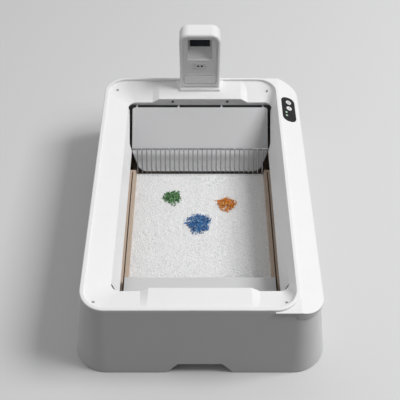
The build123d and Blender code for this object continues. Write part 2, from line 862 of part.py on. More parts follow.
clamp_in = rail_x + carriage_half_w
clamp_out = belt_x + belt_w / 2 + carriage_wall
carriage_foot_z = rail_z - rail_r - carriage_wall
carriage_head_z = rod_z + rod_r + carriage_wall
for side, name in ((-1, "carriage_left"), (1, "carriage_right")):
    with BuildPart() as carriage:
        x0, x1 = sorted((side * (rail_x - carriage_half_w), side * clamp_in))
        block(x0, x1, rod_y - carriage_half_l, rod_y + carriage_half_l, carriage_foot_z, carriage_head_z)
        x0, x1 = sorted((side * (clamp_in - 1), side * clamp_out))
        block(x0, x1, rod_y - carriage_half_l / 2, rod_y + carriage_half_l / 2,
              belt_top_z - carriage_wall, belt_top_z + carriage_wall)
        x0, x1 = sorted((side * (rail_x - carriage_half_w), side * clamp_in))
        block(x0, x1, rod_y - carriage_half_l / 2, rod_y + carriage_half_l / 2,
              carriage_head_z - 1, belt_top_z + carriage_wall)
        bar_y(side * rail_x, -far, far, rail_z, rail_r + rail_play, Mode.SUBTRACT)
        x0, x1 = sorted((side * (rail_x - 2 * carriage_half_w), side * rod_end))
        bar_x(x0, x1, rod_y, rod_z, rod_r + rail_play / 2, Mode.SUBTRACT)
        with Locations((side * belt_x, rod_y, belt_top_z)):
            Box(belt_w + 2 * belt_play, far, belt_t + 2 * belt_play, mode=Mode.SUBTRACT)
    save(carriage.part, name)

# Bulkheads: cross walls that carry the rails and the drive, between the housing's side walls
bulk_low = half_width(bulkhead_foot, shell_t + fit_gap)
bulk_high = half_width(bulkhead_top, shell_t + fit_gap)
rail_y0 = front_bulkhead_y
rail_y1 = bulkhead_rear
shelf_foot = shelf_top - shelf_t
rear_outline = [
    (-bulk_low, bulkhead_foot),
    (bulk_low, bulkhead_foot),
    (bulk_high, bulkhead_top),
    (-bulk_high, bulkhead_top),
]
front_cut = guard_x + guard_t + 1
front_outline = [
    (-bulk_low, bulkhead_foot),
    (bulk_low, bulkhead_foot),
    (bulk_high, bulkhead_top),
    (front_cut, bulkhead_top),
    (front_cut, shelf_foot),
    (-front_cut, shelf_foot),
    (-front_cut, bulkhead_top),
    (-bulk_high, bulkhead_top),
]
with BuildPart() as rear_bulkhead:
    add(prism_xz(rear_outline, rear_bulkhead_y, bulkhead_rear))
    for side in (-1, 1):
        bar_y(side * rail_x, rear_bulkhead_y - 1, bulkhead_rear + 1, rail_z, rail_r + shaft_play, Mode.SUBTRACT)
        with Locations((side * belt_x, rear_bulkhead_y, shaft_z)):
            Box(belt_w + 2 * carriage_wall, 4 * bulkhead_t, 2 * belt_out_r + carriage_wall,
                mode=Mode.SUBTRACT)
save(rear_bulkhead.part, "rear_bulkhead")

with BuildPart() as front_bulkhead:
    add(prism_xz(front_outline, front_bulkhead_y, front_bulkhead_y + bulkhead_t))
    for side in (-1, 1):
        bar_y(side * rail_x, front_bulkhead_y - 1, front_bulkhead_y + bulkhead_t + 1, rail_z,
              rail_r + shaft_play, Mode.SUBTRACT)
save(front_bulkhead.part, "front_bulkhead")

for side, name in ((-1, "guide_rail_left"), (1, "guide_rail_right")):
    with BuildPart() as rail:
        bar_y(side * rail_x, rail_y0, rail_y1, rail_z, rail_r)
    save(rail.part, name)

# Dust guards between the bulkheads, each with a slot for the rake's rod
guard_y0 = front_bulkhead_y + bulkhead_t + fit_gap
guard_y1 = rear_bulkhead_y - fit_gap
slot_y0 = rod_y - rake_travel - 2 * rod_r
slot_y1 = rod_y + 2 * rod_r
for side, name in ((-1, "dust_guard_left"), (1, "dust_guard_right")):
    with BuildPart() as guard:
        x0, x1 = sorted((side * guard_x, side * (guard_x + guard_t)))
        block(x0, x1, guard_y0, guard_y1, bulkhead_foot, guard_top)
        block(x0 - 1, x1 + 1, slot_y0, slot_y1, rod_z - slot_half_h, rod_z + slot_half_h, Mode.SUBTRACT)
    save(guard.part, name)

# Position sensors on the right guard, at the two ends of the rake's run
sensor_z = carriage_foot_z + sensor_l / 2
with BuildPart() as position_sensors:
    sensor_x = guard_x + guard_t + shaft_play
    for y in (rod_y, rod_y - rake_travel):
        block(sensor_x, sensor_x + sensor_t, y - sensor_l / 2, y + sensor_l / 2,
              sensor_z - sensor_l / 2, sensor_z + sensor_l / 2)
save(position_sensors.part, "position_sensors")


# Belt drive: cross shaft behind the rear bulkhead, pulleys at both ends, idlers at the front
def tooth_wheel(teeth, turn, module, backlash):
    """Outline points of a spur gear with straight flanks, one tooth centred at the turn angle."""
    pitch = teeth * module / 2
    half = math.pi * module / 4 - backlash / 2
    slope = math.tan(math.radians(pressure_angle))
    root = tooth_root * module
    tip = tooth_tip * module
    levels = (
        (pitch - root, -1, half + root * slope),
        (pitch + tip, -1, half - tip * slope),
        (pitch + tip, 1, half - tip * slope),
        (pitch - root, 1, half + root * slope),
    )
    points = []
    for tooth in range(teeth):
        centre = math.radians(turn + 360 * tooth / teeth)
        for radius, sign, reach in levels:
            angle = centre + sign * reach / pitch
            points.append((radius * math.cos(angle), radius * math.sin(angle)))
    return points


def gear_part(x, y, z, teeth, turn, bore):
    """A spur gear across X at a shaft's centre."""
    points = [(y + a, z + b) for a, b in tooth_wheel(teeth, turn, gear_module, gear_backlash)]
    with BuildPart() as gear:
        add(prism_yz(points, x, x + gear_w))
        if bore:
            bar_x(x - 1, x + gear_w + 1, y, z, bore, Mode.SUBTRACT)
    return gear.part


shaft_end = belt_x + belt_w / 2 + pulley_flange_t + 2
with BuildPart() as cross_shaft:
    bar_x(-shaft_end, shaft_end, shaft_y, shaft_z, shaft_r)
save(cross_shaft.part, "cross_shaft")

save(gear_part(gear_x, shaft_y, shaft_z, gear_teeth, mesh_angle, shaft_r), "shaft_gear")

pinion_turn = mesh_angle + 180 + 180 / pinion_teeth
stub_x = gear_x - motor_stub
with BuildPart() as motor_pinion:
    add(gear_part(gear_x, motor_y, motor_z, pinion_teeth, pinion_turn, 0))
    bar_x(stub_x, gear_x + gear_w / 2, motor_y, motor_z, motor_shaft_r)
save(motor_pinion.part, "motor_pinion")


def pulley(side, y, bore):
    """A toothed pulley with two flanges, across X in a belt's plane."""
    half = belt_w / 2 + belt_play
    with BuildPart() as wheel:
        x = side * belt_x
        bar_x(x - half, x + half, y, shaft_z, pulley_r)
        for tooth in range(pulley_teeth):
            angle = 2 * math.pi * tooth / pulley_teeth
            with Locations((x, y + pulley_r * math.cos(angle), shaft_z + pulley_r * math.sin(angle))):
                with Locations(Rotation(math.degrees(angle), 0, 0)):
                    Box(3 * half, pulley_groove_w, pulley_groove_h, mode=Mode.SUBTRACT)
        bar_x(x - half - pulley_flange_t, x - half, y, shaft_z, pulley_flange_r)
        bar_x(x + half, x + half + pulley_flange_t, y, shaft_z, pulley_flange_r)
        bar_x(x - 2 * half, x + 2 * half, y, shaft_z, bore, Mode.SUBTRACT)
    return wheel.part


for side, end in ((-1, "left"), (1, "right")):
    save(pulley(side, shaft_y, shaft_r), f"drive_pulley_{end}")
    save(pulley(side, idler_y, shaft_r + shaft_play), f"idler_pulley_{end}")
    with BuildPart() as belt:
        with BuildSketch(Plane.YZ.offset(side * belt_x - belt_w / 2)):
            with Locations(((shaft_y + idler_y) / 2, shaft_z)):
                SlotCenterToCenter(shaft_y - idler_y, 2 * belt_out_r)
                SlotCenterToCenter(shaft_y - idler_y, 2 * belt_in_r, mode=Mode.SUBTRACT)
        extrude(amount=belt_w)
    save(belt.part, f"belt_{end}")

bearing_half = bush_r + bearing_wall
with BuildPart() as shaft_bearings:
    for side in (-1, 1):
        x0 = side * bush_x - bush_w / 2
        block(x0, x0 + bush_w, bulkhead_rear, shaft_y + bearing_half, shaft_z - bearing_half,
              shaft_z + bearing_half)
        bar_x(x0 - 1, x0 + bush_w + 1, shaft_y, shaft_z, bush_r, Mode.SUBTRACT)
save(shaft_bearings.part, "shaft_bearings")

with BuildPart() as shaft_bushes:
    for side in (-1, 1):
        x0 = side * bush_x - bush_w / 2
        bar_x(x0, x0 + bush_w, shaft_y, shaft_z, bush_r)
        bar_x(x0 - 1, x0 + bush_w + 1, shaft_y, shaft_z, shaft_r + shaft_play, Mode.SUBTRACT)
save(shaft_bushes.part, "shaft_bushes")

# Idler brackets: forks on the front bulkhead's rear face, each with a fixed axle
fork_in = belt_w / 2 + belt_play + pulley_flange_t + fit_gap
with BuildPart() as idler_brackets:
    for side in (-1, 1):
        x = side * belt_x
        fork_back = front_bulkhead_y + bulkhead_t
        for x0 in (x - fork_in - bulkhead_t / 2, x + fork_in):
            block(x0, x0 + bulkhead_t / 2, fork_back, idler_y + shaft_r + bulkhead_t,
                  shaft_z - shaft_r - bulkhead_t, shaft_z + shaft_r + bulkhead_t)
        block(x - fork_in, x + fork_in, fork_back, fork_back + bulkhead_t / 2,
              shaft_z - shaft_r - bulkhead_t, shaft_z + shaft_r + bulkhead_t)
        bar_x(x - 2 * fork_in, x + 2 * fork_in, idler_y, shaft_z, shaft_r, Mode.SUBTRACT)
save(idler_brackets.part, "idler_brackets")

with BuildPart() as idler_axles:
    for side in (-1, 1):
        x = side * belt_x
        reach = fork_in + bulkhead_t
        bar_x(x - reach, x + reach, idler_y, shaft_z, shaft_r)
save(idler_axles.part, "idler_axles")

# Geared motor on a bracket behind the rear bulkhead
bracket_x = gear_x - 2 * motor_shaft_r - bracket_t
with BuildPart() as motor_bracket:
    block(bracket_x, bracket_x + bracket_t, bulkhead_rear, motor_y + motor_r,
          bulkhead_foot, shaft_z + bearing_half)
    block(bracket_x - 4 * bracket_t, bracket_x, bulkhead_rear, bulkhead_rear + bracket_t,
          shaft_z - bearing_half, shaft_z + bearing_half)
    bar_x(0, far, shaft_y, shaft_z, shaft_r + bracket_t, Mode.SUBTRACT)
    bar_x(0, far, motor_y, motor_z, motor_shaft_r + 1, Mode.SUBTRACT)
save(motor_bracket.part, "motor_bracket")

with BuildPart() as drive_motor:
    bar_x(bracket_x - motor_len, bracket_x, motor_y, motor_z, motor_r)
    chamfer(drive_motor.edges().filter_by(GeomType.CIRCLE), 1.0)
    bar_x(stub_x - 1, far, motor_y, motor_z, motor_shaft_r + rail_play, Mode.SUBTRACT)
save(drive_motor.part, "drive_motor")

# Front shelf over the tray's front end, resting on the front bulkhead
shelf_front = half_length(shelf_top, shell_t + fit_gap)
with BuildPart() as front_shelf:
    block(-shelf_half, shelf_half, -shelf_front, shelf_y, shelf_foot, shelf_top)
    fillet(front_shelf.edges().filter_by(Axis.X).group_by(Axis.Y)[-1].sort_by(Axis.Z)[-1], shelf_t / 2)
    block(-shelf_half, shelf_half, shelf_y - shelf_t, shelf_y, shelf_foot - shelf_lip, shelf_foot + 1)
save(front_shelf.part, "front_shelf")

# Cardboard tray: folded double walls round the litter bay, a plain wall round the waste bay
dam_rear = dam_front + dam_t
fold_top = tray_h - card_t
with BuildPart() as tray:
    block(-tray_half, tray_half, tray_front, tray_rear, 0, tray_h)
    block(-bay_half, bay_half, tray_front + end_fold, dam_front, card_t, far, Mode.SUBTRACT)
    waste_half = tray_half - card_t
    block(-waste_half, waste_half, dam_rear, tray_rear - card_t, card_t, far, Mode.SUBTRACT)
    block(-bay_half, bay_half, dam_front - 1, dam_rear + 1, dam_h, far, Mode.SUBTRACT)
    for x0, x1 in ((leaf_out + card_t, tray_half - card_t), (bay_half + card_t, leaf_in - card_t)):
        for side in (-1, 1):
            a, b = sorted((side * x0, side * x1))
            block(a, b, tray_front + end_fold, dam_front, 0, fold_top, Mode.SUBTRACT)
    for side in (-1, 1):
        a, b = sorted((side * leaf_in, side * leaf_out))
        block(a, b, tray_front + end_fold, dam_front, card_t, far, Mode.SUBTRACT)
    block(-bay_half, bay_half, tray_front + card_t, tray_front + end_fold - card_t, 0, fold_top,
          Mode.SUBTRACT)
save(tray.part, "tray")

bed_y0 = tray_front + end_fold + fit_gap
bed_y1 = dam_front - fit_gap
with BuildPart() as litter_bed:
    block(-bay_half + fit_gap, bay_half - fit_gap, bed_y0, bed_y1, card_t, litter_top)
    block(-bay_half + fit_gap, bay_half - fit_gap, bed_y1, dam_rear, dam_h + fit_gap, litter_top)
save(litter_bed.part, "litter_bed")


def pile(centre_x, from_dam, radius):
    """A low round heap of loose crystals on the litter bed."""
    ball_r = (radius**2 + pile_h**2) / (2 * pile_h)
    with BuildPart() as heap:
        with Locations((centre_x, dam_front - from_dam, litter_top + pile_h - ball_r)):
            Sphere(ball_r)
        split(bisect_by=Plane.XY.offset(litter_top), keep=Keep.TOP)
    return heap.part


for place, name in (
    (green_pile, "green_crystals"),
    (blue_pile, "blue_crystals"),
    (orange_pile, "orange_crystals"),
):
    save(pile(*place), name)

# Control panel: a glossy bezel set in the shoulder, with two sprung buttons and two lamps
button_stations = (("button_rear", button_rear), ("button_front", button_front))
light_stations = (light_rear, light_front)
panel_low = panel_proud - panel_t
button_low = panel_low - fit_gap - button_rim_t
switch_top = button_low - button_travel - fit_gap


def panel_disc(y, x, radius, low, high, mode=Mode.ADD):
    """A disc on the panel, standing square to its sloping face."""
    with Locations(panel_plane):
        with Locations((x, y, low)):
            Cylinder(radius, high - low, align=(Align.CENTER, Align.CENTER, Align.MIN), mode=mode)


with BuildPart() as control_panel:
    with BuildSketch(panel_plane.offset(-board_drop)):
        RectangleRounded(panel_w, panel_l, panel_r)
    extrude(amount=board_drop + panel_proud)
    top_edges = control_panel.faces().sort_by(Axis(panel_plane.origin, panel_plane.z_dir))[-1].edges()
    fillet(top_edges, panel_proud)
    with BuildSketch(panel_plane.offset(-board_drop)):
        RectangleRounded(panel_w - 2 * panel_wall, panel_l - 2 * panel_wall, panel_r - panel_wall)
    extrude(amount=board_drop + panel_low, mode=Mode.SUBTRACT)
    for name, y in button_stations:
        panel_disc(y, button_x, button_r + fit_gap, -board_drop, far, Mode.SUBTRACT)
    for y in light_stations:
        panel_disc(y, light_x, light_r + pin_play, -board_drop, far, Mode.SUBTRACT)
save(control_panel.part, "control_panel")

for name, y in button_stations:
    with BuildPart() as button:
        panel_disc(y, button_x, button_r, button_low, panel_proud + button_proud)
        fillet(button.faces().sort_by(Axis(panel_plane.origin, panel_plane.z_dir))[-1].edges(), button_proud)
        panel_disc(y, button_x, button_r + button_rim, button_low, button_low + button_rim_t)
    save(button.part, name)

with BuildPart() as indicator_lamps:
    for y in light_stations:
        panel_disc(y, light_x, light_r, -board_drop, panel_proud + panel_proud / 2)
save(indicator_lamps.part, "indicator_lamps")

with BuildPart() as control_board:
    with BuildSketch(panel_plane.offset(-board_drop - board_t)):
        RectangleRounded(panel_w, panel_l, panel_r)
    extrude(amount=board_t)
    for name, y in button_stations:
        with Locations(panel_plane):
            with Locations((button_x, y, -board_drop)):
                Box(2 * switch_half, 2 * switch_half, switch_top + board_drop,
                    align=(Align.CENTER, Align.CENTER, Align.MIN))
save(control_board.part, "control_board")

# Sensor tower: shell with a tenon, front face with a stepped recess, window, eye and lamp
tower_back = tower_front + tower_depth
tower_top = collar_top + tower_h
face_half = tower_half - face_side
face_foot = collar_top + face_foot_rise
face_top = tower_top - face_head_gap
foot_plate_half = face_half - foot_plate_side
foot_plate_z = face_foot + foot_plate_rise
lamp_z = foot_plate_z + foot_plate_h + lamp_rise
eye_z = lamp_z + eye_rise
recess_half = face_half - recess_side
recess_foot = eye_z + recess_rise
recess_top = tower_top - recess_head
window_half = recess_half - window_side
window_top = recess_top - window_head
window_foot = window_top - window_h
face_front = tower_front + face_inset
face_back = face_front + face_t


def tower_layer(y0, y1, half, low, high, r):
    """A rounded rectangular block across the tower between two depths."""
    with BuildPart() as layer:
        with BuildSketch(Plane.XZ.offset(-y1)):
            with Locations((0, (low + high) / 2)):
                RectangleRounded(2 * half, high - low, r)
        extrude(amount=y1 - y0)
    return layer.part


with BuildPart() as tower_shell:
    with BuildSketch(Plane.XZ.offset(-tower_front)) as tower_outline:
        with Locations((0, (collar_top + tower_top) / 2)):
            Rectangle(2 * tower_half, tower_top - collar_top)
        fillet(tower_outline.vertices().group_by(Axis.Y)[-1], tower_corner_r)
    extrude(amount=-tower_depth)
    rear_edges = tower_shell.faces().sort_by(Axis.Y)[-1].edges()
    fillet(rear_edges.sort_by(Axis.Z)[1:], tower_edge_r)
    front_edges = tower_shell.faces().sort_by(Axis.Y)[0].edges()
    fillet(front_edges.sort_by(Axis.Z)[1:], tower_front_r)
    cavity = tower_layer(tower_front - 1, tower_back - tower_wall, face_half + fit_gap,
                         face_foot - fit_gap, face_top + fit_gap, face_corner_r)
    add(cavity, mode=Mode.SUBTRACT)
    groove_z = collar_top + foot_groove_rise
    block(-face_half, face_half, tower_front, tower_front + foot_groove_h, groove_z,
          groove_z + foot_groove_h, Mode.SUBTRACT)
    block(-tenon_half, tenon_half, tenon_y - tenon_l / 2, tenon_y + tenon_l / 2, tenon_foot, collar_top)
save(tower_shell.part, "tower_shell")

recess_back = face_front + recess_depth
recess_outline = [
    (tower_front, recess_foot),
    (tower_front, recess_top),
    (recess_back, recess_top),
    (recess_back, window_foot - 1),
    (face_back, recess_foot + recess_wall),
]
tub_outline = [
    (face_back - 1, recess_foot - 2 * recess_wall),
    (face_back - 1, recess_top + recess_wall),
    (recess_back + recess_wall, recess_top + recess_wall),
    (recess_back + recess_wall, window_foot - 2 * recess_wall),
    (face_back, recess_foot - 2 * recess_wall),
]
tower_board_y = face_back + recess_wall * 2
stud_x = face_half - 3 * pin_r
stud_rows = (recess_foot - 4 * recess_wall - pin_r, lamp_z - 2 * pin_r)
with BuildPart() as tower_face:
    add(tower_layer(face_front, face_back, face_half, face_foot, face_top, face_corner_r))
    add(prism_yz(tub_outline, -recess_half - recess_wall, recess_half + recess_wall))
    add(prism_yz(recess_outline, -recess_half, recess_half), mode=Mode.SUBTRACT)
    eye_hole = tower_layer(tower_front - 1, tower_board_y, eye_w / 2 + shaft_play, eye_z - eye_h / 2 - shaft_play,
                           eye_z + eye_h / 2 + shaft_play, eye_corner_r + shaft_play)
    add(eye_hole, mode=Mode.SUBTRACT)
    block(-lamp_half - shaft_play, lamp_half + shaft_play, tower_front, tower_back,
          lamp_z - lamp_h / 2 - shaft_play, lamp_z + lamp_h / 2 + shaft_play, Mode.SUBTRACT)
    for z in stud_rows:
        for x in (-stud_x, stud_x):
            bar_y(x, face_back - 1, tower_board_y, z, pin_r)
save(tower_face.part, "tower_face")

with BuildPart() as sensor_window:
    block(-window_half, window_half, recess_back - window_t, recess_back, window_foot, window_top)
save(sensor_window.part, "sensor_window")

with BuildPart() as presence_eye:
    add(tower_layer(face_front - eye_proud, tower_board_y, eye_w / 2, eye_z - eye_h / 2, eye_z + eye_h / 2,
                    eye_corner_r))
    for x in (-eye_lens_x, eye_lens_x):
        bar_y(x, 0, face_back, eye_z, eye_lens_r + shaft_play, Mode.SUBTRACT)
save(presence_eye.part, "presence_eye")

with BuildPart() as eye_lenses:
    for x in (-eye_lens_x, eye_lens_x):
        bar_y(x, face_front - eye_proud / 2, face_back, eye_z, eye_lens_r)
save(eye_lenses.part, "eye_lenses")

with BuildPart() as tower_lamp:
    block(-lamp_half, lamp_half, face_front - eye_proud / 2, tower_board_y, lamp_z - lamp_h / 2,
          lamp_z + lamp_h / 2)
save(tower_lamp.part, "tower_lamp")

with BuildPart() as tower_board:
    board_foot = min(stud_rows) - 2 * pin_r
    block(-face_half + pin_r, face_half - pin_r, tower_board_y, tower_board_y + board_t,
          board_foot, max(stud_rows) + pin_r)
save(tower_board.part, "tower_board")

with BuildPart() as tower_foot_plate:
    block(-foot_plate_half, foot_plate_half, face_front - eye_proud, face_front, foot_plate_z,
          foot_plate_z + foot_plate_h)
    fillet(tower_foot_plate.edges().filter_by(Axis.Y), foot_plate_r)
save(tower_foot_plate.part, "tower_foot_plate")

# Facts for the motion: axes, travels and ratios
print(f"hinge axis y {hinge_y:.3f} z {hinge_z:.3f}, flap length {lid_length:.3f}")
print(f"rake travel {rake_travel:.3f} from rod y {rod_y:.3f}, tips y {tip_y:.3f}")
print(f"shaft y {shaft_y:.3f} z {shaft_z}, idler y {idler_y:.3f}, motor y {motor_y:.3f} z {motor_z:.3f}")
print(f"pulley pitch radius {pitch_r:.4f}, gear ratio {gear_teeth / pinion_teeth:.4f}")
print(f"panel normal x {math.sin(shoulder_angle):.5f} z {math.cos(shoulder_angle):.5f}")
print(f"sockets {sockets}")
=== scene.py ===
# %% [markdown]
# # Dressing a self-cleaning litter box
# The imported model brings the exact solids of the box: a white housing over a card tray of crystals, a
# wire rake, a flap, a control panel and a sensor tower. This lesson gives every solid the finish of the
# real product, swaps the plain litter for loose crystals, and sets up the camera, the floor and the
# lamp of a product picture. Everything is in metres, with +Y towards the tower and +Z up.

# %% The frame
import json
import math

import bpy
import numpy as np
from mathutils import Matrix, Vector


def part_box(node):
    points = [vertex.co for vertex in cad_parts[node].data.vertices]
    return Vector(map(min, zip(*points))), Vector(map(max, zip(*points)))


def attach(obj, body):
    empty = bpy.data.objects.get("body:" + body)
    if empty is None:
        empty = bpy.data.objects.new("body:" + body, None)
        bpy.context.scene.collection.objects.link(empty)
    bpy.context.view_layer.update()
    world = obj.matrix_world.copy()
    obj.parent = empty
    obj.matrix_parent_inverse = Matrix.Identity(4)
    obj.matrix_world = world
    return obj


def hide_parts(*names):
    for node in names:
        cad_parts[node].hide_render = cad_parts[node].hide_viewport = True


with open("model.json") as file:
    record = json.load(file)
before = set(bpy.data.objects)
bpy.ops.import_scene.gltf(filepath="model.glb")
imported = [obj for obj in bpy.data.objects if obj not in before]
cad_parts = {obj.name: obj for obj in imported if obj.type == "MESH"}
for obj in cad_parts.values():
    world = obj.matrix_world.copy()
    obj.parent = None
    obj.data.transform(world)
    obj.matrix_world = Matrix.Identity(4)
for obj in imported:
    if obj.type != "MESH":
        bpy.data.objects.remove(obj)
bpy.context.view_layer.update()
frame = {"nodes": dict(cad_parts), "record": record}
nodes = frame["nodes"]

# %% [markdown]
# ## The camera
# The picture was taken from in front and above with a longish lens, so the far end of the box looks
# narrower than the near end. A camera could be placed by eye, but then nothing could be compared with
# the picture. So a pinhole camera was fitted to the outlines of the base and of the rim, which gave the
# place, the tilt and the lens below. A tilt is a turn about X: zero looks straight down.

# %% Camera
CAMERA_PLACE = (0.0, -1.088, 1.331)
CAMERA_TILT_DEGREES = 41.83
LENS_MM = 66.7
SENSOR_MM = 36.0
NEAREST_SEEN = 0.05
FARTHEST_SEEN = 50.0

eye = bpy.data.cameras.new("picture_camera")
eye.lens = LENS_MM
eye.sensor_width = SENSOR_MM
eye.clip_start = NEAREST_SEEN
eye.clip_end = FARTHEST_SEEN
camera = bpy.data.objects.new("picture_camera", eye)
camera.location = CAMERA_PLACE
camera.rotation_euler = (math.radians(CAMERA_TILT_DEGREES), 0.0, 0.0)
bpy.context.scene.collection.objects.link(camera)
bpy.context.scene.camera = camera
bpy.context.scene.view_settings.view_transform = "Standard"
print("camera", camera.location[:], "lens", eye.lens)


# %% [markdown]
# ## Helpers for shader nodes
# A shader is a small graph of nodes. It could be built by hand in Blender's shader editor, but there it
# has to be built again for each finish. A few helpers keep the cells short instead: they add a node and
# set its values, start a material, mix colours, and feed a roughness or a bump.

# %% Nodes and materials
def add_node(tree, kind, **values):
    """Add a node of a kind and set its inputs or properties by name."""
    node = tree.nodes.new(kind)
    for name, value in values.items():
        label = name.replace("_", " ")
        if label in node.inputs:
            node.inputs[label].default_value = value
        else:
            setattr(node, name, value)
    return node


def start_material(name, roughness, metallic=0.0):
    """Start a material and hand back its tree and its Principled shader."""
    material = bpy.data.materials.new(name)
    material.use_nodes = True
    shader = material.node_tree.nodes["Principled BSDF"]
    shader.inputs["Roughness"].default_value = roughness
    shader.inputs["Metallic"].default_value = metallic
    return material, material.node_tree, shader


print("helpers:", add_node.__name__, start_material.__name__)

# %% Colours
# A Mix node has several sockets of the same name, one for each kind of value, so its colour sockets
# are reached by their number.
MIX_FACTOR = 0
MIX_FIRST = 6
MIX_SECOND = 7
MIX_RESULT = 2


def rgba(colour):
    """A linear colour with the fourth value that Blender's sockets want."""
    return tuple(colour) + (1.0,)


def shade(colour, factor, lift=0.0):
    """A colour made darker or lighter by a factor, and lifted, with no value over one."""
    return tuple(min(1.0, value * factor + lift) for value in colour)


def mix_colours(tree, first=None, second=None, blend_type="MIX"):
    """Add a Mix node for colours. A colour that isn't given comes in by a link."""
    node = add_node(tree, "ShaderNodeMix", data_type="RGBA", blend_type=blend_type)
    if first is not None:
        node.inputs[MIX_FIRST].default_value = rgba(first)
    if second is not None:
        node.inputs[MIX_SECOND].default_value = rgba(second)
    return node


def colour_ramp(tree, stops):
    """Add a colour ramp. Its stops are (position, colour), from the first to the last."""
    node = add_node(tree, "ShaderNodeValToRGB")
    elements = node.color_ramp.elements
    for element, (position, colour) in zip(elements, (stops[0], stops[-1])):
        element.position = position
        element.color = rgba(colour)
    for position, colour in stops[1:-1]:
        elements.new(position).color = rgba(colour)
    return node


print("helpers:", mix_colours.__name__, colour_ramp.__name__)


# %% Gloss and bump
def vary_roughness(tree, shader, mask, roughness, spread, **span):
    """Let a mask drive the shader's roughness: the spread says how far below and above."""
    gloss = add_node(tree, "ShaderNodeMapRange", To_Min=roughness + spread[0],
                     To_Max=roughness + spread[1], **span)
    tree.links.new(mask, gloss.inputs["Value"])
    tree.links.new(gloss.outputs["Result"], shader.inputs["Roughness"])


def raise_surface(tree, shader, height, strength, depth, normal=None):
    """Give the shader a bump from a height, over a softened normal where there is one."""
    bump = add_node(tree, "ShaderNodeBump", Strength=strength, Distance=depth)
    tree.links.new(height, bump.inputs["Height"])
    if normal is not None:
        tree.links.new(normal, bump.inputs["Normal"])
    tree.links.new(bump.outputs["Normal"], shader.inputs["Normal"])


print("helpers:", vary_roughness.__name__, raise_surface.__name__)


# %% [markdown]
# ## Effects that several finishes share
# Grain, soft edges and dust are on nearly every part of the box. Each material could have its own nodes
# for them, but then a change has to be made many times. A node group is built once, with named inputs
# and outputs, and placed in each material with values of its own.

# %% Node groups
VALUE = "NodeSocketFloat"
VECTOR = "NodeSocketVector"


def start_group(name, inputs, outputs):
    """Start a node group: inputs are (label, kind, value), outputs are (label, kind)."""
    tree = bpy.data.node_groups.new(name, "ShaderNodeTree")
    for label, kind, value in inputs:
        socket = tree.interface.new_socket(label, in_out="INPUT", socket_type=kind)
        if value is not None:
            socket.default_value = value
    for label, kind in outputs:
        tree.interface.new_socket(label, in_out="OUTPUT", socket_type=kind)
    return tree, tree.nodes.new("NodeGroupInput"), tree.nodes.new("NodeGroupOutput")


def place_group(tree, group, **values):
    """Place a group in a material with its own values."""
    node = tree.nodes.new("ShaderNodeGroup")
    node.node_tree = group
    for name, value in values.items():
        node.inputs[name.replace("_", " ")].default_value = value
    return node


print("helpers:", start_group.__name__, place_group.__name__)

# %% [markdown]
# ### Moulded grain
# Moulded plastic is never perfectly even: the tool leaves a fine grain, and thick and thin places cool
# to slightly different tones. An image could show this, but it would stretch and repeat. Two noises hold
# up at any distance: a fine one for a bump, and a broad one for the tone.

# %% Group: moulded grain
grain_group, grain_in, grain_out = start_group(
    "moulded_grain",
    [("Vector", VECTOR, None), ("Grain Scale", VALUE, 1800.0), ("Tone Scale", VALUE, 9.0)],
    [("Height", VALUE), ("Tone", VALUE)],
)
fine = add_node(grain_group, "ShaderNodeTexNoise", Detail=3.0, Roughness=0.6)
broad = add_node(grain_group, "ShaderNodeTexNoise", Detail=2.0, Roughness=0.5)
grain_group.links.new(grain_in.outputs["Vector"], fine.inputs["Vector"])
grain_group.links.new(grain_in.outputs["Vector"], broad.inputs["Vector"])
grain_group.links.new(grain_in.outputs["Grain Scale"], fine.inputs["Scale"])
grain_group.links.new(grain_in.outputs["Tone Scale"], broad.inputs["Scale"])
grain_group.links.new(fine.outputs["Fac"], grain_out.inputs["Height"])
grain_group.links.new(broad.outputs["Fac"], grain_out.inputs["Tone"])
print("group", grain_group.name)

# %% [markdown]
# ### Softened edge
# Real edges are never knife-sharp, and a rounded edge catches the light. Bevelling the meshes would
# change the imported solids, so a Bevel node rounds their edges for the light alone. Where its normal
# parts from the true one there is an edge, and that difference serves as a mask for a painted highlight.

# %% Group: softened edge
EDGE_SAMPLES = 6
# How much the painted highlight on edges is lifted above the colour.
EDGE_GLINT = 0.01

edge_group, edge_in, edge_out = start_group(
    "softened_edge",
    [("Radius", VALUE, 0.0008), ("Sharpness", VALUE, 6.0)],
    [("Normal", VECTOR), ("Edge", VALUE)],
)
round_off = add_node(edge_group, "ShaderNodeBevel", samples=EDGE_SAMPLES)
true_face = add_node(edge_group, "ShaderNodeNewGeometry")
agree = add_node(edge_group, "ShaderNodeVectorMath", operation="DOT_PRODUCT")
differ = add_node(edge_group, "ShaderNodeMath", operation="SUBTRACT")
differ.inputs[0].default_value = 1.0
strengthen = add_node(edge_group, "ShaderNodeMath", operation="MULTIPLY", use_clamp=True)
edge_group.links.new(edge_in.outputs["Radius"], round_off.inputs["Radius"])
edge_group.links.new(round_off.outputs["Normal"], agree.inputs[0])
edge_group.links.new(true_face.outputs["Normal"], agree.inputs[1])
edge_group.links.new(agree.outputs["Value"], differ.inputs[1])
edge_group.links.new(differ.outputs["Value"], strengthen.inputs[0])
edge_group.links.new(edge_in.outputs["Sharpness"], strengthen.inputs[1])
edge_group.links.new(round_off.outputs["Normal"], edge_out.inputs["Normal"])
edge_group.links.new(strengthen.outputs["Value"], edge_out.inputs["Edge"])
print("group", edge_group.name)

# %% [markdown]
# ### Settled dust
# Dust lies in patches on what faces up. It could be painted on part by part. Here the upright share of
# the surface's normal says what faces up, and a noise makes the patches, so one group serves all parts.

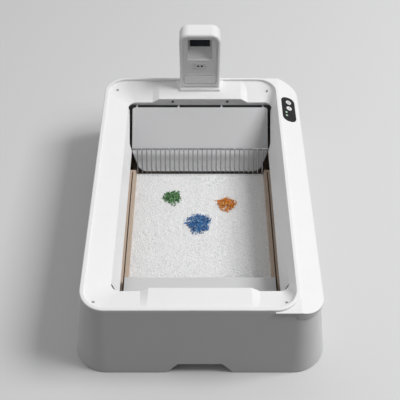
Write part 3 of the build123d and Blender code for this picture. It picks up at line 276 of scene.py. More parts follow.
# %% Group: settled dust
dust_group, dust_in, dust_out = start_group(
    "settled_dust",
    [("Vector", VECTOR, None), ("Amount", VALUE, 0.1), ("Patch Scale", VALUE, 30.0)],
    [("Dust", VALUE)],
)
facing = add_node(dust_group, "ShaderNodeNewGeometry")
upward = add_node(dust_group, "ShaderNodeSeparateXYZ")
patches = add_node(dust_group, "ShaderNodeTexNoise", Detail=5.0, Roughness=0.7)
spread = add_node(dust_group, "ShaderNodeMapRange", From_Min=0.4, From_Max=0.75)
lying = add_node(dust_group, "ShaderNodeMath", operation="MULTIPLY", use_clamp=True)
dose = add_node(dust_group, "ShaderNodeMath", operation="MULTIPLY", use_clamp=True)
dust_group.links.new(facing.outputs["Normal"], upward.inputs["Vector"])
dust_group.links.new(dust_in.outputs["Vector"], patches.inputs["Vector"])
dust_group.links.new(dust_in.outputs["Patch Scale"], patches.inputs["Scale"])
dust_group.links.new(patches.outputs["Fac"], spread.inputs["Value"])
dust_group.links.new(upward.outputs["Z"], lying.inputs[0])
dust_group.links.new(spread.outputs["Result"], lying.inputs[1])
dust_group.links.new(lying.outputs["Value"], dose.inputs[0])
dust_group.links.new(dust_in.outputs["Amount"], dose.inputs[1])
dust_group.links.new(dose.outputs["Value"], dust_out.inputs["Dust"])
print("group", dust_group.name)


# %% [markdown]
# ## Moulded plastics
# Most of the box is injection-moulded: a white satin housing, and greys for the flap, the flange, the
# shelf and the tower's face. Each could be a material of its own, but they differ only in a few values,
# so one recipe serves them all. The broad noise mixes two close tones, the edges get a little painted
# highlight, dust dulls what faces up, and the fine grain goes through a bump.

# %% Plastic recipe
PLASTIC_GLOSS_SPREAD = (-0.04, 0.05)
PLASTIC_DUST = 0.06
PLASTIC_DUST_COLOUR = (0.62, 0.61, 0.59)
PLASTIC_GRAIN_DEPTH = 0.0002


def moulded_plastic(name, colour, roughness, grain=0.02, edge_radius=0.0008, edge_highlight=1.06,
                    tone_step=0.97):
    """A moulded plastic: colour in linear values, grain as a bump strength, and a painted highlight on its
    edges.
    """
    material, tree, shader = start_material(name, roughness)
    where = add_node(tree, "ShaderNodeTexCoord")
    tone = place_group(tree, grain_group)
    edge = place_group(tree, edge_group, Radius=edge_radius)
    film = place_group(tree, dust_group, Amount=PLASTIC_DUST)
    tree.links.new(where.outputs["Object"], tone.inputs["Vector"])
    tree.links.new(where.outputs["Object"], film.inputs["Vector"])
    body = mix_colours(tree, shade(colour, tone_step), colour)
    # A painted highlight: a lighter copy of the colour along the edges that the edge mask finds.
    edge_highlighted = mix_colours(tree, second=shade(colour, edge_highlight, EDGE_GLINT))
    dusted = mix_colours(tree, second=PLASTIC_DUST_COLOUR)
    tree.links.new(tone.outputs["Tone"], body.inputs[MIX_FACTOR])
    tree.links.new(body.outputs[MIX_RESULT], edge_highlighted.inputs[MIX_FIRST])
    tree.links.new(edge.outputs["Edge"], edge_highlighted.inputs[MIX_FACTOR])
    tree.links.new(edge_highlighted.outputs[MIX_RESULT], dusted.inputs[MIX_FIRST])
    tree.links.new(film.outputs["Dust"], dusted.inputs[MIX_FACTOR])
    tree.links.new(dusted.outputs[MIX_RESULT], shader.inputs["Base Color"])
    vary_roughness(tree, shader, tone.outputs["Tone"], roughness, PLASTIC_GLOSS_SPREAD)
    raise_surface(tree, shader, tone.outputs["Height"], grain, PLASTIC_GRAIN_DEPTH,
                  normal=edge.outputs["Normal"])
    return material


print("recipe:", moulded_plastic.__name__)

# %% Plastics
PLASTICS = {
    "shell_white": {"colour": (0.84, 0.84, 0.845), "roughness": 0.46, "grain": 0.06},
    "cover_white": {"colour": (0.87, 0.87, 0.87), "roughness": 0.40, "edge_radius": 0.0012},
    "tower_white": {"colour": (0.86, 0.86, 0.86), "roughness": 0.38},
    "face_grey": {"colour": (0.74, 0.74, 0.745), "roughness": 0.5, "grain": 0.05},
    "plate_grey": {"colour": (0.85, 0.85, 0.85), "roughness": 0.32},
    "eye_grey": {"colour": (0.66, 0.66, 0.665), "roughness": 0.3},
    "flap_grey": {"colour": (0.60, 0.60, 0.61), "roughness": 0.42, "grain": 0.05},
    "flange_grey": {"colour": (0.80, 0.80, 0.805), "roughness": 0.5},
    "shelf_grey": {"colour": (0.64, 0.64, 0.645), "roughness": 0.5, "grain": 0.05},
    "inner_grey": {"colour": (0.34, 0.34, 0.35), "roughness": 0.55, "grain": 0.05},
    "acetal_white": {"colour": (0.74, 0.74, 0.70), "roughness": 0.35},
    # The black pulleys get a strong painted highlight on their edges.
    "pulley_black": {"colour": (0.035, 0.035, 0.036), "roughness": 0.45, "edge_highlight": 2.0},
    "button_white": {"colour": (0.80, 0.80, 0.80), "roughness": 0.3, "edge_radius": 0.0005},
    "board_green": {"colour": (0.03, 0.16, 0.07), "roughness": 0.4, "tone_step": 0.8},
}

finishes = {name: moulded_plastic(name, **look) for name, look in PLASTICS.items()}
print("plastics:", len(finishes))


# %% [markdown]
# ## Glossy black parts
# The panel's bezel, the tower's window and the tiny lenses are polished black plastic. Black could be a
# dark colour alone, but what sells polish is the reflection, broken by a faint smear where a finger has
# been. So a noise feeds the roughness.

# %% Polished black
BLACK_EDGE_RADIUS = 0.0006
# The edges of the blacks get a painted highlight this many times lighter than the black.
BLACK_EDGE_HIGHLIGHT = 2.5
BLACK_SPECULAR = 0.2
BLACKS = {
    "panel_black": {"colour": (0.012, 0.012, 0.013), "roughness": 0.12},
    "window_smoke": {"colour": (0.008, 0.008, 0.01), "roughness": 0.08},
    "lens_black": {"colour": (0.01, 0.01, 0.012), "roughness": 0.06, "smear": 0.03},
    "inlet_black": {"colour": (0.02, 0.02, 0.02), "roughness": 0.3},
}


def polished_black(name, colour, roughness, smear=0.12):
    """A dark, polished plastic with finger smears in its roughness and a painted highlight on its edges.
    """
    material, tree, shader = start_material(name, roughness)
    shader.inputs["Specular IOR Level"].default_value = BLACK_SPECULAR
    where = add_node(tree, "ShaderNodeTexCoord")
    smears = add_node(tree, "ShaderNodeTexNoise", Scale=55.0, Detail=4.0, Roughness=0.65, Distortion=0.8)
    edge = place_group(tree, edge_group, Radius=BLACK_EDGE_RADIUS)
    # A painted highlight on the edges, far lighter than the black.
    edge_highlighted = mix_colours(tree, colour, shade(colour, BLACK_EDGE_HIGHLIGHT, EDGE_GLINT))
    tree.links.new(where.outputs["Object"], smears.inputs["Vector"])
    vary_roughness(tree, shader, smears.outputs["Fac"], roughness, (0.0, smear),
                   From_Min=0.35, From_Max=0.7)
    tree.links.new(edge.outputs["Edge"], edge_highlighted.inputs[MIX_FACTOR])
    tree.links.new(edge_highlighted.outputs[MIX_RESULT], shader.inputs["Base Color"])
    tree.links.new(edge.outputs["Normal"], shader.inputs["Normal"])
    return material


finishes.update({name: polished_black(name, **look) for name, look in BLACKS.items()})
print("finishes so far:", len(finishes))


# %% [markdown]
# ## Metals
# The rake is bright drawn wire, and rails, screws, springs and pins are turned or drawn too. Drawing
# leaves streaks along the wire. They could be cut into the mesh, but they are far too fine for that, so
# a noise that is stretched along one direction drives both the roughness and a faint bump.

# %% Group: drawn streaks
streak_group, streak_in, streak_out = start_group(
    "drawn_streaks",
    [("Vector", VECTOR, None), ("Stretch", VECTOR, (1.0, 1.0, 1.0)), ("Streak Scale", VALUE, 900.0)],
    [("Height", VALUE)],
)
stretch = add_node(streak_group, "ShaderNodeVectorMath", operation="MULTIPLY")
streaks = add_node(streak_group, "ShaderNodeTexNoise", Detail=4.0, Roughness=0.6)
streak_group.links.new(streak_in.outputs["Vector"], stretch.inputs[0])
streak_group.links.new(streak_in.outputs["Stretch"], stretch.inputs[1])
streak_group.links.new(stretch.outputs["Vector"], streaks.inputs["Vector"])
streak_group.links.new(streak_in.outputs["Streak Scale"], streaks.inputs["Scale"])
streak_group.links.new(streaks.outputs["Fac"], streak_out.inputs["Height"])
print("group", streak_group.name)

# %% Drawn metals
METAL_DARK = 0.7
METAL_GLOSS_SPREAD = (-0.06, 0.12)
METAL_EDGE_RADIUS = 0.0003
STREAK_STRENGTH = 0.05
STREAK_DEPTH = 0.0001
METALS = {
    "wire_steel": {"colour": (0.46, 0.46, 0.47), "roughness": 0.24, "stretch_by": (1.0, 0.1, 0.1)},
    "rail_steel": {"colour": (0.60, 0.60, 0.61), "roughness": 0.2, "stretch_by": (1.0, 0.05, 1.0)},
    "screw_steel": {"colour": (0.12, 0.12, 0.125), "roughness": 0.35, "stretch_by": (1.0, 1.0, 1.0)},
    "spring_steel": {"colour": (0.50, 0.50, 0.51), "roughness": 0.3, "stretch_by": (0.1, 1.0, 1.0)},
    "bush_bronze": {"colour": (0.55, 0.36, 0.16), "roughness": 0.35, "stretch_by": (0.2, 1.0, 1.0)},
    "motor_steel": {"colour": (0.30, 0.30, 0.32), "roughness": 0.4, "stretch_by": (0.1, 1.0, 1.0)},
}


def drawn_metal(name, colour, roughness, stretch_by):
    """A metal with streaks along the axis whose stretch is smallest."""
    material, tree, shader = start_material(name, roughness, metallic=1.0)
    where = add_node(tree, "ShaderNodeTexCoord")
    lines = place_group(tree, streak_group, Stretch=stretch_by)
    edge = place_group(tree, edge_group, Radius=METAL_EDGE_RADIUS)
    mixed = mix_colours(tree, shade(colour, METAL_DARK), colour)
    tree.links.new(where.outputs["Object"], lines.inputs["Vector"])
    tree.links.new(lines.outputs["Height"], mixed.inputs[MIX_FACTOR])
    tree.links.new(mixed.outputs[MIX_RESULT], shader.inputs["Base Color"])
    vary_roughness(tree, shader, lines.outputs["Height"], roughness, METAL_GLOSS_SPREAD)
    raise_surface(tree, shader, lines.outputs["Height"], STREAK_STRENGTH, STREAK_DEPTH,
                  normal=edge.outputs["Normal"])
    return material


finishes.update({name: drawn_metal(name, **look) for name, look in METALS.items()})
print("finishes so far:", len(finishes))


# %% [markdown]
# ## Rubber
# Feet and belts are matt black rubber. A dark plastic would look too tight and clean: rubber scatters
# light at its surface and holds dust. So this recipe has a high roughness, a deeper grain than the
# plastics, and more dust.

# %% Rubbers
RUBBER_ROUGHNESS = 0.8
RUBBER_LIGHT = 1.9
RUBBER_DUST_COLOUR = (0.30, 0.29, 0.28)
RUBBER_GRAIN = 0.3
RUBBER_GRAIN_DEPTH = 0.0003
RUBBERS = {
    "foot_rubber": {"colour": (0.022, 0.022, 0.022), "dust": 0.1},
    "belt_rubber": {"colour": (0.016, 0.016, 0.016), "dust": 0.2},
}


def matt_rubber(name, colour, dust):
    """A black rubber with a deep fine grain and some dust on it."""
    material, tree, shader = start_material(name, RUBBER_ROUGHNESS)
    where = add_node(tree, "ShaderNodeTexCoord")
    tone = place_group(tree, grain_group, Grain_Scale=2600.0, Tone_Scale=40.0)
    film = place_group(tree, dust_group, Amount=dust, Patch_Scale=120.0)
    mixed = mix_colours(tree, colour, shade(colour, RUBBER_LIGHT))
    dusted = mix_colours(tree, second=RUBBER_DUST_COLOUR)
    tree.links.new(where.outputs["Object"], tone.inputs["Vector"])
    tree.links.new(where.outputs["Object"], film.inputs["Vector"])
    tree.links.new(tone.outputs["Tone"], mixed.inputs[MIX_FACTOR])
    tree.links.new(mixed.outputs[MIX_RESULT], dusted.inputs[MIX_FIRST])
    tree.links.new(film.outputs["Dust"], dusted.inputs[MIX_FACTOR])
    tree.links.new(dusted.outputs[MIX_RESULT], shader.inputs["Base Color"])
    raise_surface(tree, shader, tone.outputs["Height"], RUBBER_GRAIN, RUBBER_GRAIN_DEPTH)
    return material


finishes.update({name: matt_rubber(name, **look) for name, look in RUBBERS.items()})
print("finishes so far:", len(finishes))


# %% [markdown]
# ## Indicator lamps and a glowing line
# The two lamps on the panel are lit plastic. The thin line on the tower glows too, though it is no lamp:
# its glow is a painted highlight where the top edge of the tower's lower plate catches the light. A real
# light inside each would cost much and show little at this size. So the plastic gives out a little light
# of its own, and a noise mottles it, because one flat value would look painted on.

# %% Lit plastics
LAMP_ROUGHNESS = 0.25
# Finishes that glow: the panel's lamps, and the tower's line, whose glow is a painted highlight.
LAMP_AND_HIGHLIGHT_GLOWS = {
    "lamp_clear": {"colour": (0.70, 0.70, 0.70), "glow": (0.85, 0.85, 0.85), "strength": 0.05},
    "lamp_green": {"colour": (0.26, 0.42, 0.30), "glow": (0.48, 0.60, 0.48), "strength": 0.12},
}


def lit_plastic(name, colour, glow, strength):
    """A clear plastic that glows unevenly, for the lamp caps and, as a painted highlight, for the tower's
    line.
    """
    material, tree, shader = start_material(name, LAMP_ROUGHNESS)
    shader.inputs["Emission Strength"].default_value = strength
    where = add_node(tree, "ShaderNodeTexCoord")
    mottle = add_node(tree, "ShaderNodeTexNoise", Scale=400.0, Detail=2.0)
    mixed = mix_colours(tree, colour, glow)
    tree.links.new(where.outputs["Object"], mottle.inputs["Vector"])
    tree.links.new(mottle.outputs["Fac"], mixed.inputs[MIX_FACTOR])
    tree.links.new(mixed.outputs[MIX_RESULT], shader.inputs["Base Color"])
    tree.links.new(mixed.outputs[MIX_RESULT], shader.inputs["Emission Color"])
    return material


finishes.update({name: lit_plastic(name, **look) for name, look in LAMP_AND_HIGHLIGHT_GLOWS.items()})
print("finishes so far:", len(finishes))


# %% [markdown]
# ## Cardboard
# The tray is folded corrugated card. Its paper shows long pale and dark fibres, its colour drifts slowly
# from place to place, and the flutes inside the board show through as faint parallel ridges. Modelling
# the flutes would need a very fine mesh, so here they are a wave in the bump. The fibres are a noise
# that is stretched along the tray.

# %% Cardboard
CARD_ROUGHNESS = 0.85
FIBRE_STRETCH = (1.0, 0.06, 1.0)
FLUTE_SHARE = 0.25
CARD_RELIEF = 0.25
CARD_RELIEF_DEPTH = 0.0004
PAPER_STOPS = ((0.3, (0.44, 0.34, 0.26)), (0.72, (0.72, 0.60, 0.50)))
AGED_PAPER = (0.56, 0.43, 0.33)


def folded_card(name):
    """Brown card with fibres along the tray, drifting colour and faint flutes."""
    material, tree, shader = start_material(name, CARD_ROUGHNESS)
    where = add_node(tree, "ShaderNodeTexCoord")
    along = add_node(tree, "ShaderNodeVectorMath", operation="MULTIPLY")
    along.inputs[1].default_value = FIBRE_STRETCH
    fibres = add_node(tree, "ShaderNodeTexNoise", Scale=1400.0, Detail=5.0, Roughness=0.7)
    drift = add_node(tree, "ShaderNodeTexNoise", Scale=14.0, Detail=3.0)
    flutes = add_node(tree, "ShaderNodeTexWave", Scale=48.0, Distortion=0.6, bands_direction="Y")
    paper = colour_ramp(tree, PAPER_STOPS)
    aged = mix_colours(tree, second=AGED_PAPER)
    press = add_node(tree, "ShaderNodeMath", operation="MULTIPLY_ADD")
    press.inputs[1].default_value = FLUTE_SHARE
    tree.links.new(where.outputs["Object"], along.inputs[0])
    tree.links.new(along.outputs["Vector"], fibres.inputs["Vector"])
    tree.links.new(where.outputs["Object"], drift.inputs["Vector"])
    tree.links.new(where.outputs["Object"], flutes.inputs["Vector"])
    tree.links.new(fibres.outputs["Fac"], paper.inputs["Fac"])
    tree.links.new(paper.outputs["Color"], aged.inputs[MIX_FIRST])
    tree.links.new(drift.outputs["Fac"], aged.inputs[MIX_FACTOR])
    tree.links.new(aged.outputs[MIX_RESULT], shader.inputs["Base Color"])
    tree.links.new(flutes.outputs["Fac"], press.inputs[0])
    tree.links.new(fibres.outputs["Fac"], press.inputs[2])
    raise_surface(tree, shader, press.outputs["Value"], CARD_RELIEF, CARD_RELIEF_DEPTH)
    return material


finishes["cardboard_tan"] = folded_card("cardboard_tan")
print("finishes so far:", len(finishes))


# %% [markdown]
# ## Crystals
# Silica crystals are hard, irregular, slightly clear grains, mostly white, some grey and a few tinted.
# A colour for each grain could be stored in the mesh. Random Per Island does it with less: each loose
# grain is an island of its own in the mesh, so each gets a random value, and a ramp turns that into a
# tone and sets how many grains of each tone there are.

# %% Crystal recipe
CRYSTAL_REFRACTION = 1.45
CRYSTAL_GLOSS_SPREAD = (-0.15, 0.3)


def crystal(name, tones, roughness=0.3, clouding=0.25):
    """Loose grains: tones are (position, colour) along the ramp of random grains."""
    material, tree, shader = start_material(name, roughness)
    shader.inputs["IOR"].default_value = CRYSTAL_REFRACTION
    grain = add_node(tree, "ShaderNodeNewGeometry")
    where = add_node(tree, "ShaderNodeTexCoord")
    cloud = add_node(tree, "ShaderNodeTexNoise", Scale=700.0, Detail=2.0)
    ramp = colour_ramp(tree, tones)
    clouded = mix_colours(tree, blend_type="MULTIPLY")
    clouded.inputs[MIX_FACTOR].default_value = clouding
    tree.links.new(grain.outputs["Random Per Island"], ramp.inputs["Fac"])
    tree.links.new(where.outputs["Object"], cloud.inputs["Vector"])
    tree.links.new(ramp.outputs["Color"], clouded.inputs[MIX_FIRST])
    tree.links.new(cloud.outputs["Fac"], clouded.inputs[MIX_SECOND])
    tree.links.new(clouded.outputs[MIX_RESULT], shader.inputs["Base Color"])
    vary_roughness(tree, shader, grain.outputs["Random Per Island"], roughness, CRYSTAL_GLOSS_SPREAD)
    return material


print("recipe:", crystal.__name__)

# %% Crystals
WHITE_TONES = (
    (0.0, (0.72, 0.76, 0.80)), (0.04, (0.86, 0.87, 0.88)), (0.12, (0.93, 0.93, 0.93)),
    (0.7, (0.96, 0.96, 0.96)), (1.0, (0.98, 0.98, 0.98)),
)
TINT_POSITIONS = (0.0, 0.35, 0.75, 1.0)
TINTS = {
    "crystal_green": (
        (0.01, 0.05, 0.015), (0.04, 0.17, 0.04), (0.12, 0.33, 0.10), (0.36, 0.60, 0.33)),
    "crystal_blue": (
        (0.004, 0.03, 0.10), (0.015, 0.12, 0.37), (0.05, 0.24, 0.58), (0.28, 0.55, 0.84)),
    "crystal_orange": (
        (0.36, 0.07, 0.004), (0.78, 0.22, 0.01), (0.92, 0.36, 0.03), (0.96, 0.60, 0.22)),
}

finishes["litter_white"] = crystal("litter_white", WHITE_TONES, roughness=0.55, clouding=0.04)
for name, tints in TINTS.items():
    finishes[name] = crystal(name, tuple(zip(TINT_POSITIONS, tints)))
print("finishes:", len(finishes))

# %% [markdown]
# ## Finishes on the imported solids
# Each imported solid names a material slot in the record. A finish could be picked solid by solid, but the
# slot's name is already the finish's name here, so one loop dresses them all and none is forgotten.

# %% Dress the solids
for entry in frame["record"]["subparts"]:
    solid = nodes[entry["node"]]
    solid.data.materials.clear()
    solid.data.materials.append(finishes[entry["material_slot"]])

# %% [markdown]
# ## Loose grains
# The bed and the heaps are thousands of loose crystals. A particle system could strew copies of one
# grain, but the copies are alike, and they aren't one mesh. Here numpy makes every grain at once. A
# grain is an icosahedron, a round form with few faces, whose corners are jittered and which is squeezed
# and turned at random. The seeds are fixed, so every run is alike.

# %% Grain shape
GOLD = (1 + 5 ** 0.5) / 2
GRAIN_POINTS = np.array([
    (-1, GOLD, 0), (1, GOLD, 0), (-1, -GOLD, 0), (1, -GOLD, 0),
    (0, -1, GOLD), (0, 1, GOLD), (0, -1, -GOLD), (0, 1, -GOLD),
    (GOLD, 0, -1), (GOLD, 0, 1), (-GOLD, 0, -1), (-GOLD, 0, 1),
]) / math.hypot(1, GOLD)
GRAIN_FACES = np.array([
    (0, 11, 5), (0, 5, 1), (0, 1, 7), (0, 7, 10), (0, 10, 11),
    (1, 5, 9), (5, 11, 4), (11, 10, 2), (10, 7, 6), (7, 1, 8),
    (3, 9, 4), (3, 4, 2), (3, 2, 6), (3, 6, 8), (3, 8, 9),
    (4, 9, 5), (2, 4, 11), (6, 2, 10), (8, 6, 7), (9, 8, 1),
])
CORNER_JITTER = 0.22
STRONGEST_SQUEEZE = 0.55


def strewn_grains(places, sizes, rng):
    """Points and triangles of one irregular grain at each place."""
    count = len(places)
    corners = len(GRAIN_POINTS)
    points = np.repeat(GRAIN_POINTS[None, :, :], count, axis=0)
    points = points * (1 + rng.uniform(-CORNER_JITTER, CORNER_JITTER, (count, corners, 1)))
    points = points * rng.uniform(STRONGEST_SQUEEZE, 1.0, (count, 1, 3))
    turns, _ = np.linalg.qr(rng.normal(size=(count, 3, 3)))
    turns[:, :, 0] *= np.sign(np.linalg.det(turns))[:, None]
    points = np.einsum("nij,nkj->nki", turns, points) * sizes[:, None, None] + places[:, None, :]
    faces = GRAIN_FACES[None, :, :] + corners * np.arange(count)[:, None, None]
    return points.reshape(-1, 3), faces.reshape(-1, 3)


print("a grain has", len(GRAIN_POINTS), "corners and", len(GRAIN_FACES), "faces")


# %% Mesh from points
def mesh_piece(name, points, faces, finish):
    """A mesh object from points and faces, with one finish."""
    mesh = bpy.data.meshes.new(name)
    mesh.from_pydata(points.tolist(), [], [tuple(face) for face in faces])
    mesh.materials.append(finish)
    mesh.validate()
    piece = bpy.data.objects.new(name, mesh)
    bpy.context.scene.collection.objects.link(piece)
    return piece


print("helper:", mesh_piece.__name__)

# %% [markdown]
# ## The litter bed
# The real bed is a deep, level layer of white crystals. Filling all of it with grains would be slow, and
# most would never be seen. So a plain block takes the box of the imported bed, a little lower, and one
# close layer of grains covers it. Their places are a grid with some jitter, so no gap shows. The packed
# bed steps up over the card dam at its rear; the plain block doesn't, and runs through that dam.

# %% Places of the bed's grains
BED_SEED = 7
BED_PITCH = 0.0026
FIRST_INSET = 0.0024
LAST_INSET = 0.0023
BED_JITTER = 0.0006
BED_GRAIN_DEPTH = 0.0006
BED_UNEVENNESS = 0.0004
BED_GRAIN_SIZES = (0.0015, 0.0021)

rng = np.random.default_rng(BED_SEED)
bed_low, bed_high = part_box("litter_bed")
columns = np.arange(bed_low.x + FIRST_INSET, bed_high.x - LAST_INSET, BED_PITCH)
rows = np.arange(bed_low.y + FIRST_INSET, bed_high.y - LAST_INSET, BED_PITCH)
grid_x, grid_y = np.meshgrid(columns, rows)
places = np.stack([grid_x.ravel(), grid_y.ravel(), np.zeros(grid_x.size)], axis=1)
places[:, :2] += rng.uniform(-BED_JITTER, BED_JITTER, (len(places), 2))
places[:, 2] = bed_high.z - BED_GRAIN_DEPTH
places[:, 2] += rng.uniform(-BED_UNEVENNESS, BED_UNEVENNESS, len(places))
sizes = rng.uniform(*BED_GRAIN_SIZES, len(places))
print("bed grains:", len(columns), "by", len(rows))

# %% Litter bed
BLOCK_DEPTH = 0.0012

grain_points, grain_faces = strewn_grains(places, sizes, rng)
corners = [(bed_low.x, bed_low.y), (bed_high.x, bed_low.y), (bed_high.x, bed_high.y),
           (bed_low.x, bed_high.y)]
levels = (bed_low.z, bed_high.z - BLOCK_DEPTH)
block_points = np.array([(x, y, z) for z in levels for x, y in corners])
block_faces = [(0, 3, 2, 1), (4, 5, 6, 7), (0, 1, 5, 4), (1, 2, 6, 5), (2, 3, 7, 6), (3, 0, 4, 7)]
all_points = np.concatenate([block_points, grain_points])
all_faces = block_faces + list(grain_faces + len(block_points))
litter = mesh_piece("loose_litter", all_points, all_faces, finishes["litter_white"])
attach(litter, "tray")
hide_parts("litter_bed")
print("litter grains:", len(places), "faces:", len(litter.data.polygons))


# %% [markdown]
# ## The three coloured heaps
# Coloured crystals lie in three small heaps on the bed. A solid cone would look moulded, because a real
# heap is dense and high in the middle and thins out to single grains at its rim. So each grain's
# distance from the middle is drawn from a curve, its height follows from that distance, and two waves
# round the heap make its rim uneven.

# %% Coloured heaps
HEAP_GRAIN_SIZES = (0.0011, 0.0023)
HEAP_CROWDING = 1.7
HEAP_SCATTER = (0.72, 1.10)
HEAP_FILL = 0.75
LOWEST_GRAIN = 0.0008
LEVEL_SHARE = (0.2, 1.0)
# Waves round a heap's rim: their number, their height as a share of the reach, and how the seed turns
# them.
RIM_WAVES = ((3, 0.10, 1), (5, 0.07, 2))


def grain_heap(name, node, slot_name, count, seed):
    """A heap of grains on the tray, where a packed heap lies."""
    rng = np.random.default_rng(seed)
    low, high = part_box(node)
    middle = (low + high) / 2
    reach = (high.x - low.x) / 2
    angle = rng.uniform(0, 2 * math.pi, count)
    lobes = np.ones(count)
    for waves, height, turned in RIM_WAVES:
        lobes += height * np.sin(waves * angle + turned * seed)
    far = reach * lobes * rng.power(HEAP_CROWDING, count) * rng.uniform(*HEAP_SCATTER, count)
    lift = np.clip(1 - (far / reach) ** 2, 0, 1) * (high.z - low.z) * HEAP_FILL
    level = low.z + LOWEST_GRAIN + lift * rng.uniform(*LEVEL_SHARE, count)
    places = np.stack([middle.x + far * np.cos(angle), middle.y + far * np.sin(angle), level], axis=1)
    points, faces = strewn_grains(places, rng.uniform(*HEAP_GRAIN_SIZES, count), rng)
    heap = mesh_piece(name, points, faces, finishes[slot_name])
    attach(heap, "tray")
    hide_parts(node)
    print(name, count, "grains")


grain_heap("green_grains", "green_crystals", "crystal_green", count=420, seed=11)
grain_heap("blue_grains", "blue_crystals", "crystal_blue", count=680, seed=12)
grain_heap("orange_grains", "orange_crystals", "crystal_orange", count=420, seed=13)


# %% [markdown]
# ## Marks on the buttons
# Each button carries one small dark mark, a ring on the rear one and a bar on the front one. A mark
# could be a mask in the button's finish, but a small mask is hard to place on a sloping cap. So a mark
# is a thin prism, sunk a little into its cap, which keeps its edge crisp. The cap's own mesh tells where
# its upper face lies and which way it faces, so the marks follow the panel's slope.

# %% The upper face of a cap
SAME_LEVEL = 0.00002


def cap_frame(node):
    """The middle of a button's upper face, and the three directions of that face."""
    cap = nodes[node]
    widest = max(cap.data.polygons, key=lambda face: face.area * (face.normal.z > 0))
    up = widest.normal.normalized()
    ahead = Vector((0.0, 1.0, 0.0))
    across = ahead.cross(up)
    points = [cap.matrix_world @ vertex.co for vertex in cap.data.vertices]
    level = max(point.dot(up) for point in points)
    upper = [point for point in points if level - point.dot(up) < SAME_LEVEL]
    spans = [[point.dot(way) for point in upper] for way in (across, ahead)]
    middle = [(min(span) + max(span)) / 2 for span in spans]
    return across * middle[0] + ahead * middle[1] + up * level, across, ahead, up


print("rear cap faces", [round(value, 3) for value in cap_frame("button_rear")[3]])

# %% A mark from its outlines
MARK_SUNK = 0.0002
MARK_PROUD = 0.00012


def cap_mark(name, node, body, outer, inner=None):
    """A thin prism on a button: solid, or between two outlines where there is an inner one."""
    middle, across, ahead, up = cap_frame(node)
    loops = [outer] if inner is None else [outer, inner]
    count = len(outer)
    layer = count * len(loops)
    points = [middle + across * x + ahead * y + up * z
              for z in (-MARK_SUNK, MARK_PROUD) for loop in loops for x, y in loop]
    faces = [(k, (k + 1) % count, layer + (k + 1) % count, layer + k) for k in range(count)]
    if inner is None:
        faces += [tuple(range(layer, layer + count)), tuple(reversed(range(count)))]
    else:
        for k in range(count):
            after = (k + 1) % count
            faces.append((count + after, count + k, layer + count + k, layer + count + after))
            faces.append((layer + k, layer + after, layer + count + after, layer + count + k))
            faces.append((after, k, count + k, count + after))
    mark = mesh_piece(name, np.array([point[:] for point in points]), faces, finishes["panel_black"])
    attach(mark, body)
    print(name, len(faces), "faces")


# %% The ring and the bar
# The bar's outline starts a little past the first axis, so that each of its points clearly belongs to
# one end or to the other.
RING_OUTER = 0.0031
RING_INNER = 0.0021
BAR_END_RADIUS = 0.0008
BAR_HALF_RUN = 0.0020
OUTLINE_POINTS = 40
OFF_AXIS = 0.01

round_trip = np.linspace(0, 2 * math.pi, OUTLINE_POINTS, endpoint=False)
ring_out, ring_in = (
    [(radius * math.cos(a), radius * math.sin(a)) for a in round_trip]
    for radius in (RING_OUTER, RING_INNER)
)
bar = [(BAR_END_RADIUS * math.cos(a),
        BAR_END_RADIUS * math.sin(a) + math.copysign(BAR_HALF_RUN, math.sin(a)))
       for a in round_trip + OFF_AXIS]
cap_mark("rear_button_mark", "button_rear", "rear_button", ring_out, ring_in)
cap_mark("front_button_mark", "button_front", "front_button", bar)


# %% [markdown]
# ## Floor and surroundings
# The box stands on a wide pale sweep, and yet its front wall is dark in the picture, as if little light
# came up from the floor. A darker floor would give that wall its tone but spoil the pale background. So
# Light Path tells two kinds of ray apart: what the camera sees, straight, in a reflection or through
# glass, is pale, and what bounces back onto the box is toned down. The floor keeps the box's shadow.

# %% Rays that the camera sees
def seen_rays(tree):
    """Add a mask to a tree: one for rays that the camera sees, and zero for bounced light."""
    rays = add_node(tree, "ShaderNodeLightPath")
    straight_or_gloss = add_node(tree, "ShaderNodeMath", operation="MAXIMUM")
    seen = add_node(tree, "ShaderNodeMath", operation="MAXIMUM")
    tree.links.new(rays.outputs["Is Camera Ray"], straight_or_gloss.inputs[0])
    tree.links.new(rays.outputs["Is Glossy Ray"], straight_or_gloss.inputs[1])
    tree.links.new(straight_or_gloss.outputs["Value"], seen.inputs[0])
    tree.links.new(rays.outputs["Is Transmission Ray"], seen.inputs[1])
    return seen.outputs["Value"]


print("helper:", seen_rays.__name__)

# %% Floor
FLOOR_COLOUR = (0.69, 0.69, 0.695)
BOUNCE_COLOUR = (0.08, 0.08, 0.08)
FLOOR_REACH = 9.0
FLOOR_ROUGHNESS = 0.9
FLOOR_SPECULAR = 0.1

floor_finish, tree, shader = start_material("studio_floor", FLOOR_ROUGHNESS)
shader.inputs["Specular IOR Level"].default_value = FLOOR_SPECULAR
tone = mix_colours(tree, BOUNCE_COLOUR, FLOOR_COLOUR)
tree.links.new(seen_rays(tree), tone.inputs[MIX_FACTOR])
tree.links.new(tone.outputs[MIX_RESULT], shader.inputs["Base Color"])
floor_corners = FLOOR_REACH * np.array([(-1, -1, 0), (1, -1, 0), (1, 1, 0), (-1, 1, 0)])
floor = mesh_piece("studio_floor", floor_corners, [(0, 1, 2, 3)], floor_finish)
print("floor", 2 * FLOOR_REACH, "m wide")

# %% [markdown]
# ## The world
# Besides the lamp, weak light comes from all round, most of it from above, behind and the left. Many
# weak lamps could give it. A world whose strength grows towards one direction does the same with a few
# nodes. The backdrop that the camera sees has one even strength of its own.

# %% World
BACKDROP_STRENGTH = 0.72
BRIGHTEST_WAY = (-0.40, 0.58, 0.71)
BRIGHTEST_LEAN = 1.0
BRIGHTEST_STRENGTH = 0.56
DIMMEST_LEAN = -0.6
DIMMEST_STRENGTH = 0.01
WORLD_WHITE = (1.0, 1.0, 1.0)
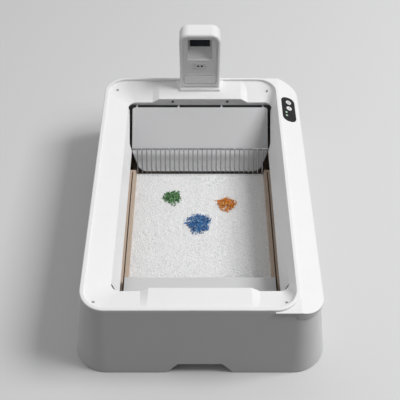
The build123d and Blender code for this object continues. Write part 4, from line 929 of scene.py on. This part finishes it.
# The Mix node's sockets for plain numbers come before those for colours.
FIRST_NUMBER = 2
SECOND_NUMBER = 3
NUMBER_RESULT = 0

world = bpy.data.worlds.new("studio")
world.use_nodes = True
bpy.context.scene.world = world
tree = world.node_tree
backdrop = tree.nodes["Background"]
backdrop.inputs["Color"].default_value = rgba(WORLD_WHITE)
direction = add_node(tree, "ShaderNodeTexCoord")
lean = add_node(tree, "ShaderNodeVectorMath", operation="DOT_PRODUCT")
lean.inputs[1].default_value = BRIGHTEST_WAY
ambient = add_node(tree, "ShaderNodeMapRange", From_Min=DIMMEST_LEAN, From_Max=BRIGHTEST_LEAN,
                   To_Min=DIMMEST_STRENGTH, To_Max=BRIGHTEST_STRENGTH)
level = add_node(tree, "ShaderNodeMix", data_type="FLOAT")
level.inputs[SECOND_NUMBER].default_value = BACKDROP_STRENGTH
tree.links.new(direction.outputs["Generated"], lean.inputs[0])
tree.links.new(lean.outputs["Value"], ambient.inputs["Value"])
tree.links.new(ambient.outputs["Result"], level.inputs[FIRST_NUMBER])
tree.links.new(seen_rays(tree), level.inputs[MIX_FACTOR])
tree.links.new(level.outputs[NUMBER_RESULT], backdrop.inputs["Strength"])
print("world:", len(tree.nodes), "nodes")

# %% [markdown]
# ## The lamp
# The shadows in the picture fall to the left and are soft. A sun lamp would give them hard edges. One
# large square softbox to the right, about 52 degrees up, does the work: an area lamp's size sets how
# soft the edge of a shadow is.

# %% Softbox
KEY_PLACE = Vector((3.15, 0.02, 4.15))
KEY_AIM = Vector((0.0, 0.0, 0.1))
KEY_SIZE = 2.0
KEY_POWER = 194.0

lamp = bpy.data.lights.new("key_softbox", "AREA")
lamp.shape = "SQUARE"
lamp.size = KEY_SIZE
lamp.energy = KEY_POWER
holder = bpy.data.objects.new("key_softbox", lamp)
holder.location = KEY_PLACE
holder.rotation_euler = (KEY_AIM - KEY_PLACE).to_track_quat("-Z", "Y").to_euler()
bpy.context.scene.collection.objects.link(holder)
print(lamp.name, "stands", round((KEY_AIM - KEY_PLACE).length, 2), "m away")
